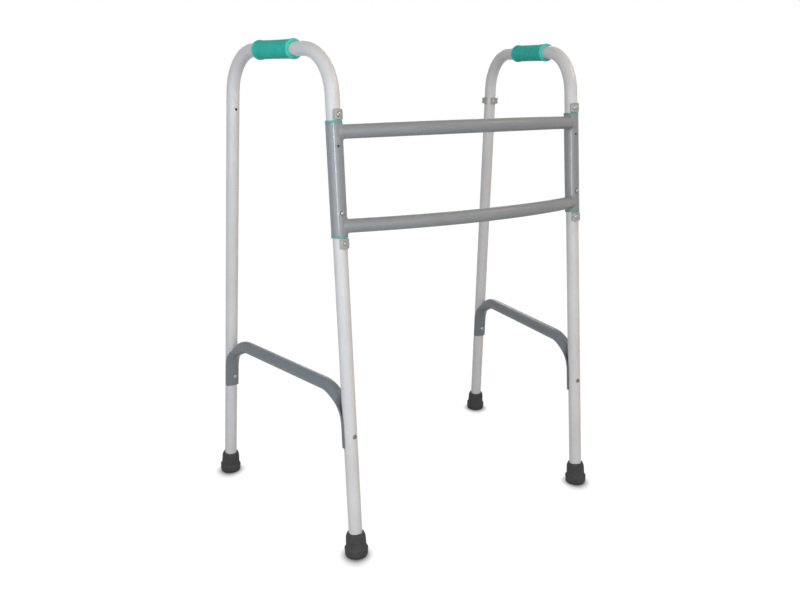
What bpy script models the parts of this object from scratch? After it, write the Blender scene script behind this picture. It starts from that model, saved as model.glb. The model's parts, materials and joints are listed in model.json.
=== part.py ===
"""A folding walking frame: two inverted-U side frames hinged on a front panel.

Units are metres and +Z is up. The front panel faces -Y and the user stands on the +Y side.
Left and right are as seen from the front, so the left side frame stands at -X.
Each side frame turns about its own front leg, inside the panel's sleeve, and folds inwards.
"""

import math

import bmesh
import bpy
from mathutils import Matrix, Vector
from mathutils.geometry import intersect_line_line

# Stance of a side frame, as drawn flat: the handle's straight run is level, and heights are from the floor
HANDLE_HEIGHT = 0.8875
HANDLE_RUN = 0.159
FRONT_FOOT_OFFSET = 0.269
FRONT_LEAN = math.radians(4.8)
REAR_LEAN = math.radians(4.53)
SIDE_SPLAY = math.radians(8.7)
SIDE_TILT = math.radians(1.1)

# Side frame tube, open at both feet
TUBE_RADIUS = 0.0125
TUBE_WALL = 0.0013
TOP_BEND_RADIUS = 0.081
TOP_BEND_STEPS = 8

# Facets round the tubes and all that fits them, and round small turned pieces and drilled holes, and the
# least angle between two facets that is an edge
TUBE_SIDES = 16
SMALL_SIDES = 12
SHARP_ANGLE = math.radians(35)

# Clearances between neighbours that touch, turn or slide
SEAT_GAP = 0.0003
RUNNING_GAP = 0.0004
BUSH_GAP = 0.00015
HOLE_GAP = 0.0003

# How far a cutter runs past the face that it cuts
OVERRUN = 0.003

# Front panel: a sleeve round each front leg, and two bars bowed forwards between the sleeves
SLEEVE_TOP = 0.774
SLEEVE_LENGTH = 0.195
SLEEVE_WALL = 0.0009
BUSH_WALL = 0.0004
BUSH_FLANGE = 0.003
BUSH_LIP = 0.0003
BUSH_SKIRT = 0.018
BAR_RADIUS = 0.012
BAR_WALL = 0.0013
BAR_BOW = 0.0615
UPPER_BAR_INSET = 0.0188
LOWER_BAR_INSET = 0.0195
BAR_STEPS = 10

# Stops above and below each sleeve, screwed to the front leg
STOP_HEIGHT = 0.018
STOP_THICKNESS = 0.0036
STOP_HALF_ANGLE = math.radians(39)
STOP_STEPS = 6

# Pan-head screws of the stops and the clip
SCREW_RADIUS = 0.0019
SCREW_HEAD_RADIUS = 0.0036
SCREW_HEAD_HEIGHT = 0.0022
SCREW_REACH = 0.004
SCREW_SINK = 0.0019

# Lock button in the front leg, and the V spring behind it
BUTTON_RADIUS = 0.0039
BUTTON_PROUD = 0.003
BUTTON_FLANGE_RADIUS = 0.0052
BUTTON_FLANGE = 0.001
BUTTON_INSET = 0.042
SPARE_HOLE_RADIUS = 0.003
SPRING_WIDTH = 0.007
SPRING_LEAF = 0.0007
SPRING_LENGTH = 0.045
SPRING_TURN_RADIUS = 0.003

# Brace: a wide U whose ends are pressed flat into a half-round saddle against each leg
BRACE_RADIUS = 0.0122
BRACE_WALL = 0.0012
BRACE_SLIT = 0.0003
BRACE_HEIGHT = 0.3035
BRACE_END_HEIGHT = 0.2025
BRACE_BEND_RADIUS = 0.065
BRACE_OFFSET = 0.012  # from the leg's axis to the tube's, where its end lies along the leg
BRACE_WRAP = math.radians(88)
BRACE_FLAT = 0.058
BRACE_MORPH = 0.050
BRACE_MORPH_STEPS = 5
BRACE_BEND_STEPS = 4

# Rivets through the legs and the brace's ends
RIVET_HEIGHT = 0.2265
RIVET_RADIUS = 0.0021
RIVET_HEAD_RADIUS = 0.0041
RIVET_HEAD = 0.002

# Handle grips: the left one is pushed towards its rear bend and the right one towards its front bend
GRIP_LENGTH = 0.114
GRIP_RADIUS = 0.0163
GRIP_RIM_RADIUS = 0.0176
GRIP_ROUNDING = 0.005
LEFT_GRIP_TO_REAR_BEND = 0.018
RIGHT_GRIP_TO_FRONT_BEND = 0.008

# Rubber ferrule on each foot, cut level with the floor, and the steel washer moulded in it
FERRULE_HEIGHT = 0.0438
FERRULE_TOP_RADIUS = 0.0159
FERRULE_COLLAR_RADIUS = 0.018
FERRULE_BELL_RADIUS = 0.0212
FERRULE_SHOULDER = 0.0168
FERRULE_EDGE = 0.0029
FERRULE_SOLE = 0.010
FERRULE_OVERLAP = 0.0022
WASHER_THICKNESS = 0.0015
WASHER_HOLE = 0.003
WASHER_PLAY = 0.0005

# Storage clip round the right rear leg
CLIP_HEIGHT = 0.789
CLIP_LENGTH = 0.0135
CLIP_THICKNESS = 0.0052
CLIP_MOUTH_TURN = math.radians(40)
CLIP_MOUTH_HALF_ANGLE = math.radians(21)
CLIP_STEPS = 20

# Empty screw hole in the left rear leg
EMPTY_HOLE_HEIGHT = 0.783
EMPTY_HOLE_RADIUS = 0.0027

# Colours, with roughness and metallic value
COLOURS = {
    "white_coat": ((0.69, 0.69, 0.71), 0.3, 0.0),
    "grey_coat": ((0.23, 0.26, 0.29), 0.35, 0.0),
    "teal_bush": ((0.03, 0.4, 0.34), 0.45, 0.0),
    "teal_grip": ((0.03, 0.35, 0.27), 0.6, 0.0),
    "black_rubber": ((0.05, 0.05, 0.052), 0.85, 0.0),
    "clear_grey_plastic": ((0.42, 0.42, 0.4), 0.35, 0.0),
    "bright_steel": ((0.6, 0.6, 0.6), 0.25, 1.0),
}

LEFT, RIGHT = -1, 1
SIDE_NAMES = {LEFT: "left", RIGHT: "right"}
FRONT_TURN = 0.0
REAR_TURN = math.pi
QUARTER_TURN = math.pi / 2

# Radii that follow from the leg outwards
BUSH_BORE = TUBE_RADIUS + RUNNING_GAP
BUSH_RADIUS = BUSH_BORE + BUSH_WALL
SLEEVE_BORE = BUSH_RADIUS + BUSH_GAP
SLEEVE_RADIUS = SLEEVE_BORE + SLEEVE_WALL
SEAT_RADIUS = TUBE_RADIUS + SEAT_GAP
SLEEVE_BOTTOM = SLEEVE_TOP - SLEEVE_LENGTH

# The handle's bends take up some of its length, and the legs spread from it down to the feet
FRONT_BEND_REACH = TOP_BEND_RADIUS * math.tan((QUARTER_TURN - FRONT_LEAN) / 2)
REAR_BEND_REACH = TOP_BEND_RADIUS * math.tan((QUARTER_TURN - REAR_LEAN) / 2)
HANDLE_DEPTH = FRONT_BEND_REACH + HANDLE_RUN + REAR_BEND_REACH
FOOT_SPREAD = HANDLE_DEPTH + HANDLE_HEIGHT * (math.tan(FRONT_LEAN) + math.tan(REAR_LEAN))


def clear_scene():
    for item in list(bpy.data.objects):
        bpy.data.objects.remove(item, do_unlink=True)


def material(name):
    """The named finish, made once."""
    if name in bpy.data.materials:
        return bpy.data.materials[name]
    colour, roughness, metallic = COLOURS[name]
    finish = bpy.data.materials.new(name)
    finish.use_nodes = True
    shader = finish.node_tree.nodes["Principled BSDF"]
    shader.inputs["Base Color"].default_value = (*colour, 1.0)
    shader.inputs["Roughness"].default_value = roughness
    shader.inputs["Metallic"].default_value = metallic
    finish.diffuse_color = (*colour, 1.0)
    return finish


def guide(name, parent=None, place=Matrix()):
    """An empty that carries the pieces placed in its frame."""
    empty = bpy.data.objects.new(name, None)
    bpy.context.collection.objects.link(empty)
    empty.parent = parent
    empty.matrix_local = place
    return empty


def finish_object(name, bm, parent, place, finish):
    """Turn a bmesh into an object with closed, outward faces; a cutter has no finish."""
    bmesh.ops.recalc_face_normals(bm, faces=bm.faces)
    if bm.calc_volume(signed=True) < 0:
        bmesh.ops.reverse_faces(bm, faces=bm.faces)
    mesh = bpy.data.meshes.new(name)
    bm.to_mesh(mesh)
    bm.free()
    mesh.shade_smooth()
    mesh.set_sharp_from_angle(angle=SHARP_ANGLE)
    item = bpy.data.objects.new(name, mesh)
    bpy.context.collection.objects.link(item)
    item.parent = parent
    item.matrix_local = place
    if finish:
        mesh.materials.append(material(finish))
    return item


def skin(bm, rings, closed):
    """Join each ring of points to the next, and the last to the first if closed."""
    loops = [[bm.verts.new(point) for point in ring] for ring in rings]
    pairs = list(zip(loops, loops[1:]))
    if closed:
        pairs.append((loops[-1], loops[0]))
    for one, other in pairs:
        for i, corner in enumerate(one):
            after = (i + 1) % len(one)
            bm.faces.new((corner, one[after], other[after], other[i]))
    if not closed:
        bm.faces.new(loops[0])
        bm.faces.new(loops[-1])


def facet_angles(sides):
    """Corner angles of a ring that has flat facets to its front and back."""
    return [2 * math.pi * (i + 0.5) / sides for i in range(sides)]


def turned(name, profile, parent, place, finish, hollow=False, sides=TUBE_SIDES):
    """A body turned about Z from (radius, height) points; a hollow one has a closed profile."""
    angles = facet_angles(sides)
    rings = [[Vector((r * math.cos(a), r * math.sin(a), z)) for a in angles] for r, z in profile]
    bm = bmesh.new()
    skin(bm, rings, closed=hollow)
    return finish_object(name, bm, parent, place, finish)


def block(name, size, parent, place):
    """A box cutter with its centre at the origin of its place."""
    bm = bmesh.new()
    bmesh.ops.create_cube(bm, size=1.0)
    bmesh.ops.scale(bm, vec=size, verts=bm.verts)
    return finish_object(name, bm, parent, place, None)


def prism(name, outline, height, parent, place, finish):
    """A flat outline of (x, y) points raised by a height."""
    bm = bmesh.new()
    base = bm.faces.new([bm.verts.new((x, y, 0.0)) for x, y in outline])
    raised = bmesh.ops.extrude_face_region(bm, geom=[base])
    moved = [part for part in raised["geom"] if isinstance(part, bmesh.types.BMVert)]
    bmesh.ops.translate(bm, vec=(0.0, 0.0, height), verts=moved)
    return finish_object(name, bm, parent, place, finish)


def cut(target, cutter):
    """Take a hidden cutter away from a target."""
    cutter.hide_render = True
    cutter.display_type = "WIRE"
    boolean = target.modifiers.new(cutter.name, "BOOLEAN")
    boolean.operation = "DIFFERENCE"
    boolean.solver = "EXACT"
    boolean.object = cutter


def drill(name, radius, start, end, parent, turn, height):
    """A cylinder cutter across a leg, from start to end outwards from its axis."""
    profile = [(radius, start), (radius, end)]
    return turned(name, profile, parent, outwards(turn, height), None, sides=SMALL_SIDES)


def drill_wall(name, radius, parent, turn, height):
    """A cutter through one wall of a leg."""
    start = TUBE_RADIUS - TUBE_WALL - OVERRUN
    return drill(name, radius, start, TUBE_RADIUS + OVERRUN, parent, turn, height)


def lying(angle, turn, height):
    """A place at a height on a leg, with Z pointing out of the leg, turned round it."""
    return Matrix.Translation((0, 0, height)) @ Matrix.Rotation(turn, 4, "Z") @ Matrix.Rotation(angle, 4, "X")


def outwards(turn, height):
    """A place on a leg whose Z axis points forwards, away from the leg's axis."""
    return lying(QUARTER_TURN, turn, height)


def on_frame(along, up):
    """A point of the flat drawing, in a frame whose Z runs up the front leg."""
    lean = Matrix.Rotation(FRONT_LEAN, 3, "X")
    return lean @ Vector((0.0, along, up))


def leg_line(foot_along, lean, inset):
    """Two points on a line parallel to a leg, inset towards the middle of the side frame."""
    direction = Vector((0.0, math.sin(lean), math.cos(lean)))
    inwards = Vector((0.0, math.cos(lean), -math.sin(lean))) * math.copysign(inset, lean)
    foot = Vector((0.0, foot_along, 0.0)) + inwards
    return foot, foot + direction


def at_height(foot_along, lean, inset, height):
    """Where a line along a leg passes a height, in the side frame's own axes."""
    foot, above = leg_line(foot_along, lean, inset)
    level = Vector((0.0, 0.0, height))
    point, _ = intersect_line_line(foot, above, level, level + Vector((0.0, 1.0, 0.0)))
    return on_frame(point.y, point.z)


def route(corners, radius):
    """Straight runs and bends through the corners, as (length, function of distance) pairs."""
    pieces = []
    start = corners[0]
    for before, corner, after in zip(corners, corners[1:], corners[2:]):
        arriving = (corner - before).normalized()
        leaving = (after - corner).normalized()
        turn = arriving.angle(leaving)
        reach = radius * math.tan(turn / 2)
        bend_start = corner - arriving * reach
        axis = arriving.cross(leaving).normalized()
        centre = bend_start + axis.cross(arriving) * radius
        pieces.append(straight(start, bend_start))
        pieces.append(bend(bend_start, centre, axis, arriving, turn, radius))
        start = corner + leaving * reach
    pieces.append(straight(start, corners[-1]))
    return pieces


def straight(start, end):
    length = (end - start).length
    direction = (end - start).normalized()
    return length, lambda distance: (start + direction * distance, direction)


def bend(start, centre, axis, arriving, turn, radius):
    def place(distance):
        swing = Matrix.Rotation(distance / radius, 3, axis)
        return centre + swing @ (start - centre), swing @ arriving

    return turn * radius, place


def along_route(pieces, distance):
    """The point and direction at a distance from the route's start."""
    for length, place in pieces[:-1]:
        if distance <= length:
            return place(distance)
        distance -= length
    return pieces[-1][1](distance)


def route_length(pieces):
    return sum(length for length, _ in pieces)


def station_distances(pieces, bend_steps):
    """Distances of the ends and of even steps round each bend."""
    stations = [0.0]
    passed = 0.0
    for number, (length, _) in enumerate(pieces):
        if number % 2:
            stations += [passed + length * i / bend_steps for i in range(bend_steps + 1)]
        passed += length
    return stations + [passed]


def tube_rings(stations, radius, normal=Vector((1.0, 0.0, 0.0))):
    """Circles round a flat route, given as (point, direction) stations."""
    rings = []
    for point, direction in stations:
        outer = normal.cross(direction)
        spokes = [normal * math.cos(angle) + outer * math.sin(angle) for angle in facet_angles(TUBE_SIDES)]
        rings.append([point + spoke * radius for spoke in spokes])
    return rings


def shell(name, outside, inside, parent, place, finish):
    """A wall between two sets of rings, open at both ends."""
    bm = bmesh.new()
    skin(bm, outside + inside[::-1], closed=True)
    return finish_object(name, bm, parent, place, finish)


def rear_foot():
    """The rear leg's place in the side frame: Z up the leg and -Y out of the frame."""
    lean = Matrix.Rotation(FRONT_LEAN + REAR_LEAN, 4, "X")
    return Matrix.Translation(on_frame(FOOT_SPREAD, 0.0)) @ lean @ Matrix.Rotation(REAR_TURN, 4, "Z")


def tube_end():
    """How far the tube's end stands above the foot, on its washer."""
    return FERRULE_SOLE + WASHER_THICKNESS + 2 * SEAT_GAP


def side_tube(side, fold_axis):
    """One length of tube: front leg, handle and rear leg."""
    corners = [
        Vector((0.0, 0.0, tube_end())),
        at_height(0.0, FRONT_LEAN, 0.0, HANDLE_HEIGHT),
        at_height(FOOT_SPREAD, -REAR_LEAN, 0.0, HANDLE_HEIGHT),
        rear_foot() @ Vector((0.0, 0.0, tube_end())),
    ]
    pieces = route(corners, TOP_BEND_RADIUS)
    stations = [along_route(pieces, d) for d in station_distances(pieces, TOP_BEND_STEPS)]
    outside = tube_rings(stations, TUBE_RADIUS)
    inside = tube_rings(stations, TUBE_RADIUS - TUBE_WALL)
    name = f"{SIDE_NAMES[side]}_side_tube"
    return shell(name, outside, inside, fold_axis, Matrix(), "white_coat")


def pressed(distance):
    """How far the brace's section is pressed flat at a distance from its end, from 1 to 0."""
    share = min(max((distance - BRACE_FLAT) / BRACE_MORPH, 0.0), 1.0)
    return 1.0 - share * share * (3.0 - 2.0 * share)


def brace_section(point, direction, flatness, inset):
    """The brace's outline: a circle that is pressed into a crescent round the leg."""
    normal = Vector((1.0, 0.0, 0.0))
    outer = normal.cross(direction)
    leg = point + outer * BRACE_OFFSET
    widest = QUARTER_TURN - math.pi / TUBE_SIDES
    seat = SEAT_RADIUS / math.cos(BRACE_WRAP / widest * math.pi / TUBE_SIDES)
    near = seat + inset
    far = seat + 2 * BRACE_WALL + BRACE_SLIT - inset
    wrap = (BRACE_WRAP - inset / near) / widest
    ring = []
    for angle in facet_angles(TUBE_SIDES):
        circle = point + (normal * math.cos(angle) + outer * math.sin(angle)) * (BRACE_RADIUS - inset)
        radius = near if math.sin(angle) > 0 else far
        swing = wrap * math.asin(math.cos(angle))
        crescent = leg + (normal * math.sin(swing) - outer * math.cos(swing)) * radius
        ring.append(circle.lerp(crescent, flatness))
    return ring


def brace_route():
    corners = [
        at_height(0.0, FRONT_LEAN, BRACE_OFFSET, BRACE_END_HEIGHT),
        at_height(0.0, FRONT_LEAN, BRACE_OFFSET, BRACE_HEIGHT),
        at_height(FOOT_SPREAD, -REAR_LEAN, BRACE_OFFSET, BRACE_HEIGHT),
        at_height(FOOT_SPREAD, -REAR_LEAN, BRACE_OFFSET, BRACE_END_HEIGHT),
    ]
    return route(corners, BRACE_BEND_RADIUS)


def brace_distances(pieces):
    """Distances along the brace: its flat ends, the change of section and the bends."""
    total = route_length(pieces)
    morph = [BRACE_FLAT + BRACE_MORPH * i / BRACE_MORPH_STEPS for i in range(BRACE_MORPH_STEPS + 1)]
    bend_start = pieces[0][0]
    rest = bend_start + pieces[1][0] - morph[-1]
    round_part = [morph[-1] + rest * (i + 1) / BRACE_BEND_STEPS for i in range(BRACE_BEND_STEPS)]
    half = sorted([0.0, bend_start, (bend_start + BRACE_FLAT) / 2] + morph + round_part)
    return half + [total - distance for distance in reversed(half)]


def brace(side, fold_axis):
    pieces = brace_route()
    total = route_length(pieces)
    outside = []
    inside = []
    for distance in brace_distances(pieces):
        point, direction = along_route(pieces, distance)
        flatness = pressed(min(distance, total - distance))
        outside.append(brace_section(point, direction, flatness, 0.0))
        inside.append(brace_section(point, direction, flatness, BRACE_WALL))
    name = f"{SIDE_NAMES[side]}_brace"
    return shell(name, outside, inside, fold_axis, Matrix(), "grey_coat")


def rivet(name, leg, height):
    """A rivet through a leg and the brace's end, with a head on each side."""
    outer = TUBE_RADIUS + SEAT_GAP
    inner = -(SEAT_RADIUS + 2 * BRACE_WALL + BRACE_SLIT + SEAT_GAP)
    crown = RIVET_HEAD_RADIUS * 0.6
    profile = [
        (crown, inner - RIVET_HEAD),
        (RIVET_HEAD_RADIUS, inner - RIVET_HEAD / 2),
        (RIVET_HEAD_RADIUS, inner),
        (RIVET_RADIUS, inner),
        (RIVET_RADIUS, outer),
        (RIVET_HEAD_RADIUS, outer),
        (RIVET_HEAD_RADIUS, outer + RIVET_HEAD / 2),
        (crown, outer + RIVET_HEAD),
    ]
    return turned(name, profile, leg, outwards(FRONT_TURN, height), "bright_steel", sides=SMALL_SIDES)


def ferrule(name, leg, floor):
    """A rubber foot whose sole is cut level with the floor."""
    edge = FERRULE_EDGE
    bottom = -FERRULE_OVERLAP
    profile = [
        (FERRULE_BELL_RADIUS - edge, bottom),
        (FERRULE_BELL_RADIUS, bottom + 2 * edge),
        (FERRULE_BELL_RADIUS - edge * 0.5, FERRULE_SHOULDER),
        (FERRULE_COLLAR_RADIUS, FERRULE_SHOULDER + edge * 1.3),
        (FERRULE_TOP_RADIUS, FERRULE_HEIGHT - edge * 0.3),
        (FERRULE_TOP_RADIUS - edge * 0.2, FERRULE_HEIGHT),
        (SEAT_RADIUS, FERRULE_HEIGHT),
        (SEAT_RADIUS, FERRULE_SOLE),
        (WASHER_HOLE, FERRULE_SOLE),
    ]
    foot = turned(name, profile, leg, Matrix(), "black_rubber")
    cut(foot, floor)
    return foot


def washer(name, leg):
    bottom = FERRULE_SOLE + SEAT_GAP
    rim = SEAT_RADIUS - WASHER_PLAY
    profile = [
        (WASHER_HOLE, bottom),
        (rim, bottom),
        (rim, bottom + WASHER_THICKNESS),
        (WASHER_HOLE, bottom + WASHER_THICKNESS),
    ]
    return turned(name, profile, leg, Matrix(), "bright_steel", hollow=True)


def grip(side, fold_axis):
    """The moulded handle grip, with fuller rims and rounded ends."""
    half = GRIP_LENGTH / 2
    rim = GRIP_ROUNDING
    wall = GRIP_RIM_RADIUS - SEAT_RADIUS
    profile = [
        (SEAT_RADIUS, -half),
        (SEAT_RADIUS + wall * 0.4, -half),
        (SEAT_RADIUS + wall * 0.8, -half + rim * 0.3),
        (GRIP_RIM_RADIUS, -half + rim),
        (GRIP_RADIUS, -half + 2 * rim),
        (GRIP_RADIUS, half - 2 * rim),
        (GRIP_RIM_RADIUS, half - rim),
        (SEAT_RADIUS + wall * 0.8, half - rim * 0.3),
        (SEAT_RADIUS + wall * 0.4, half),
        (SEAT_RADIUS, half),
    ]
    if side == LEFT:
        middle = FRONT_BEND_REACH + HANDLE_RUN - LEFT_GRIP_TO_REAR_BEND - half
    else:
        middle = FRONT_BEND_REACH + RIGHT_GRIP_TO_FRONT_BEND + half
    corner = at_height(0.0, FRONT_LEAN, 0.0, HANDLE_HEIGHT)
    level = Matrix.Rotation(FRONT_LEAN - QUARTER_TURN, 4, "X")
    place = Matrix.Translation(corner) @ level @ Matrix.Translation((0, 0, middle))
    name = f"{SIDE_NAMES[side]}_grip"
    return turned(name, profile, fold_axis, place, "teal_grip", hollow=True)


def arc(radius, start, end, steps):
    """Points (x, y) on an arc; angle 0 points forwards, along -Y."""
    angles = [start + (end - start) * i / steps for i in range(steps + 1)]
    return [(radius * math.sin(a), -radius * math.cos(a)) for a in angles]


def stop(name, leg, bottom):
    """A moulded stop that hugs the front of the leg."""
    inner = arc(SEAT_RADIUS, -STOP_HALF_ANGLE, STOP_HALF_ANGLE, STOP_STEPS)
    outer = arc(SEAT_RADIUS + STOP_THICKNESS, STOP_HALF_ANGLE, -STOP_HALF_ANGLE, STOP_STEPS)
    place = Matrix.Translation((0, 0, bottom))
    return prism(name, inner + outer, STOP_HEIGHT, leg, place, "clear_grey_plastic")


def screw(name, leg, turn, height, seat):
    """A pan-head screw into a leg; its head's underside is at the seat's radius."""
    profile = [
        (SCREW_RADIUS * 0.5, TUBE_RADIUS - TUBE_WALL - SCREW_REACH),
        (SCREW_RADIUS, TUBE_RADIUS - TUBE_WALL - SCREW_REACH * 0.7),
        (SCREW_RADIUS, seat),
        (SCREW_HEAD_RADIUS, seat),
        (SCREW_HEAD_RADIUS, seat + SCREW_HEAD_HEIGHT * 0.5),
        (SCREW_HEAD_RADIUS * 0.75, seat + SCREW_HEAD_HEIGHT),
    ]
    turned(name, profile, leg, outwards(turn, height), "bright_steel", sides=SMALL_SIDES)


def fasten(target, screw_name, leg, turn, height, face):
    """Drill a moulded piece for its sunk screw, and give the screw."""
    seat = face - SCREW_SINK
    shank = SCREW_RADIUS + HOLE_GAP
    head = SCREW_HEAD_RADIUS + HOLE_GAP
    cut(target, drill(f"{screw_name}_bore", shank, TUBE_RADIUS, face + OVERRUN, leg, turn, height))
    cut(target, drill(f"{screw_name}_sink", head, seat - SEAT_GAP, face + OVERRUN, leg, turn, height))
    screw(screw_name, leg, turn, height, seat)
    return drill_wall(f"{screw_name}_leg_hole", shank, leg, turn, height)


def button_height():
    return SLEEVE_BOTTOM + BUTTON_INSET


def lock_button(side, press_axis):
    """A domed button whose flange bears on the inside of the leg."""
    bore = TUBE_RADIUS - TUBE_WALL
    seat = math.sqrt(bore ** 2 - BUTTON_FLANGE_RADIUS ** 2) - 2 * SEAT_GAP
    tip = SLEEVE_RADIUS + BUTTON_PROUD
    shoulder = tip - BUTTON_RADIUS * 0.55
    dome = [(math.cos(a), math.sin(a)) for a in (0.0, 0.5, 1.0, 1.35)]
    flange = [(BUTTON_FLANGE_RADIUS, seat - BUTTON_FLANGE), (BUTTON_FLANGE_RADIUS, seat)]
    pin = [(BUTTON_RADIUS, seat)] + [(BUTTON_RADIUS * c, shoulder + (tip - shoulder) * s) for c, s in dome]
    name = f"{SIDE_NAMES[side]}_lock_button"
    turned(name, flange + pin, press_axis, outwards(FRONT_TURN, 0.0), "bright_steel", sides=SMALL_SIDES)
    return seat - BUTTON_FLANGE


def half_circle(centre, low, radius, steps=6):
    """Points (across, up) on the lower half of a circle."""
    angles = [math.pi * i / steps for i in range(steps + 1)]
    return [(centre + radius * math.cos(a), low - radius * math.sin(a)) for a in angles]


def button_spring(side, press_axis, flange_back):
    """A bent leaf: one arm behind the button, the other against the far wall."""
    bore = TUBE_RADIUS - TUBE_WALL
    half_width = SPRING_WIDTH / 2
    back = math.sqrt((bore - SEAT_GAP) ** 2 - half_width ** 2) - 2 * SEAT_GAP
    front = -(flange_back - SEAT_GAP)
    arm = BUTTON_FLANGE_RADIUS
    low = -SPRING_LENGTH
    leaf = SPRING_LEAF
    middle = back - leaf - SPRING_TURN_RADIUS
    around = half_circle(middle, low, SPRING_TURN_RADIUS)
    within = half_circle(middle, low, SPRING_TURN_RADIUS - leaf)
    outside = [(back, arm), (back, low / 2)] + around + [(front, -arm), (front, arm)]
    inside = [(front + leaf, arm), (front + leaf, -arm)] + within[::-1]
    inside += [(back - leaf, low / 2), (back - leaf, arm)]
    upright = Matrix(((0, 0, 1, -half_width), (1, 0, 0, 0), (0, 1, 0, 0), (0, 0, 0, 1)))
    name = f"{SIDE_NAMES[side]}_button_spring"
    return prism(name, outside + inside, SPRING_WIDTH, press_axis, upright, "bright_steel")


def storage_clip(leg):
    """A sprung C round the leg, with its mouth turned forwards and inwards."""
    mouth = math.pi - CLIP_MOUTH_TURN
    start = mouth + CLIP_MOUTH_HALF_ANGLE
    end = mouth + 2 * math.pi - CLIP_MOUTH_HALF_ANGLE
    inner = arc(SEAT_RADIUS, start, end, CLIP_STEPS)
    outer = arc(SEAT_RADIUS + CLIP_THICKNESS, end, start, CLIP_STEPS)
    place = Matrix.Translation((0, 0, CLIP_HEIGHT - CLIP_LENGTH / 2))
    return prism("storage_clip", inner + outer, CLIP_LENGTH, leg, place, "clear_grey_plastic")


def sleeve(side, sleeve_axis):
    """A plain tube round the front leg, drilled for the lock button and with a spare hole above."""
    bottom = SLEEVE_BOTTOM + BUSH_FLANGE + SEAT_GAP
    top = SLEEVE_TOP - BUSH_FLANGE - SEAT_GAP
    profile = [(SLEEVE_BORE, bottom), (SLEEVE_RADIUS, bottom), (SLEEVE_RADIUS, top), (SLEEVE_BORE, top)]
    name = f"{SIDE_NAMES[side]}_sleeve"
    piece = turned(name, profile, sleeve_axis, Matrix(), "grey_coat", hollow=True)
    holes = {
        "button_hole": (BUTTON_RADIUS + HOLE_GAP, button_height()),
        "spare_hole": (SPARE_HOLE_RADIUS, SLEEVE_TOP - BUTTON_INSET),
    }
    start = SLEEVE_BORE - OVERRUN
    end = SLEEVE_RADIUS + OVERRUN
    for hole, (radius, height) in holes.items():
        cut(piece, drill(f"{name}_{hole}", radius, start, end, sleeve_axis, FRONT_TURN, height))


def bush(name, sleeve_axis, end, inwards):
    """A flanged bush at a sleeve's end; inwards is +1 where the sleeve lies above that end."""
    heights = [end, end + inwards * BUSH_FLANGE, end + inwards * BUSH_SKIRT]
    flange_radius = SLEEVE_RADIUS + BUSH_LIP
    profile = [
        (BUSH_BORE, heights[0]),
        (flange_radius, heights[0]),
        (flange_radius, heights[1]),
        (BUSH_RADIUS, heights[1]),
        (BUSH_RADIUS, heights[2]),
        (BUSH_BORE, heights[2]),
    ]
    turned(name, profile, sleeve_axis, Matrix(), "teal_bush", hollow=True)


def crossbar(name, panel, height, toe, cutters):
    """A bar bowed forwards from one sleeve's axis to the other's, its ends coped to the sleeves."""
    half_span = FRONT_FOOT_OFFSET - height * math.tan(toe)
    radius = (half_span ** 2 + BAR_BOW ** 2) / (2 * BAR_BOW)
    half_angle = math.asin(half_span / radius)
    stations = []
    for i in range(BAR_STEPS + 1):
        angle = half_angle * (2 * i / BAR_STEPS - 1)
        depth = radius * (1 - math.cos(angle)) - BAR_BOW
        point = Vector((radius * math.sin(angle), depth, height))
        stations.append((point, Vector((math.cos(angle), math.sin(angle), 0.0))))
    level = Vector((0.0, 0.0, 1.0))
    outside = tube_rings(stations, BAR_RADIUS, level)
    inside = tube_rings(stations, BAR_RADIUS - BAR_WALL, level)
    bar = shell(name, outside, inside, panel, Matrix(), "grey_coat")
    for cutter in cutters:
        cut(bar, cutter)


def side_frame_matrix(side):
    """Turn of a side frame: leant back, tilted in at the top and splayed out at the rear."""
    splay = Matrix.Rotation(-side * SIDE_SPLAY, 4, "Z")
    tilt = Matrix.Rotation(-side * SIDE_TILT, 4, "Y")
    lean = Matrix.Rotation(-FRONT_LEAN, 4, "X")
    return splay @ tilt @ lean


def panel_angles():
    """The front panel's lean, and the toe of each sleeve in the panel's plane."""
    leg = side_frame_matrix(LEFT).to_3x3() @ Vector((0.0, 0.0, 1.0))
    return math.atan2(leg.y, leg.z), math.asin(leg.x)


def build_front_panel(walker):
    """Sleeves, bushes and bars; gives the sleeves' frames."""
    lean, toe = panel_angles()
    panel = guide("front_panel", walker, Matrix.Rotation(-lean, 4, "X"))
    axes = {}
    cope_radius = SLEEVE_RADIUS + SEAT_GAP
    cope_profile = [(cope_radius, SLEEVE_BOTTOM - OVERRUN), (cope_radius, SLEEVE_TOP + OVERRUN)]
    copes = []
    for side in (LEFT, RIGHT):
        name = SIDE_NAMES[side]
        place = Matrix.Translation((side * FRONT_FOOT_OFFSET, 0, 0)) @ Matrix.Rotation(-side * toe, 4, "Y")
        axes[side] = guide(f"{name}_sleeve_axis", panel, place)
        sleeve(side, axes[side])
        bush(f"{name}_upper_bush", axes[side], SLEEVE_TOP, -1)
        bush(f"{name}_lower_bush", axes[side], SLEEVE_BOTTOM, 1)
        copes.append(turned(f"{name}_cope", cope_profile, axes[side], Matrix(), None, sides=2 * TUBE_SIDES))
    crossbar("upper_crossbar", panel, SLEEVE_TOP - UPPER_BAR_INSET, toe, copes)
    crossbar("lower_crossbar", panel, SLEEVE_BOTTOM + LOWER_BAR_INSET, toe, copes)
    return axes


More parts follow.
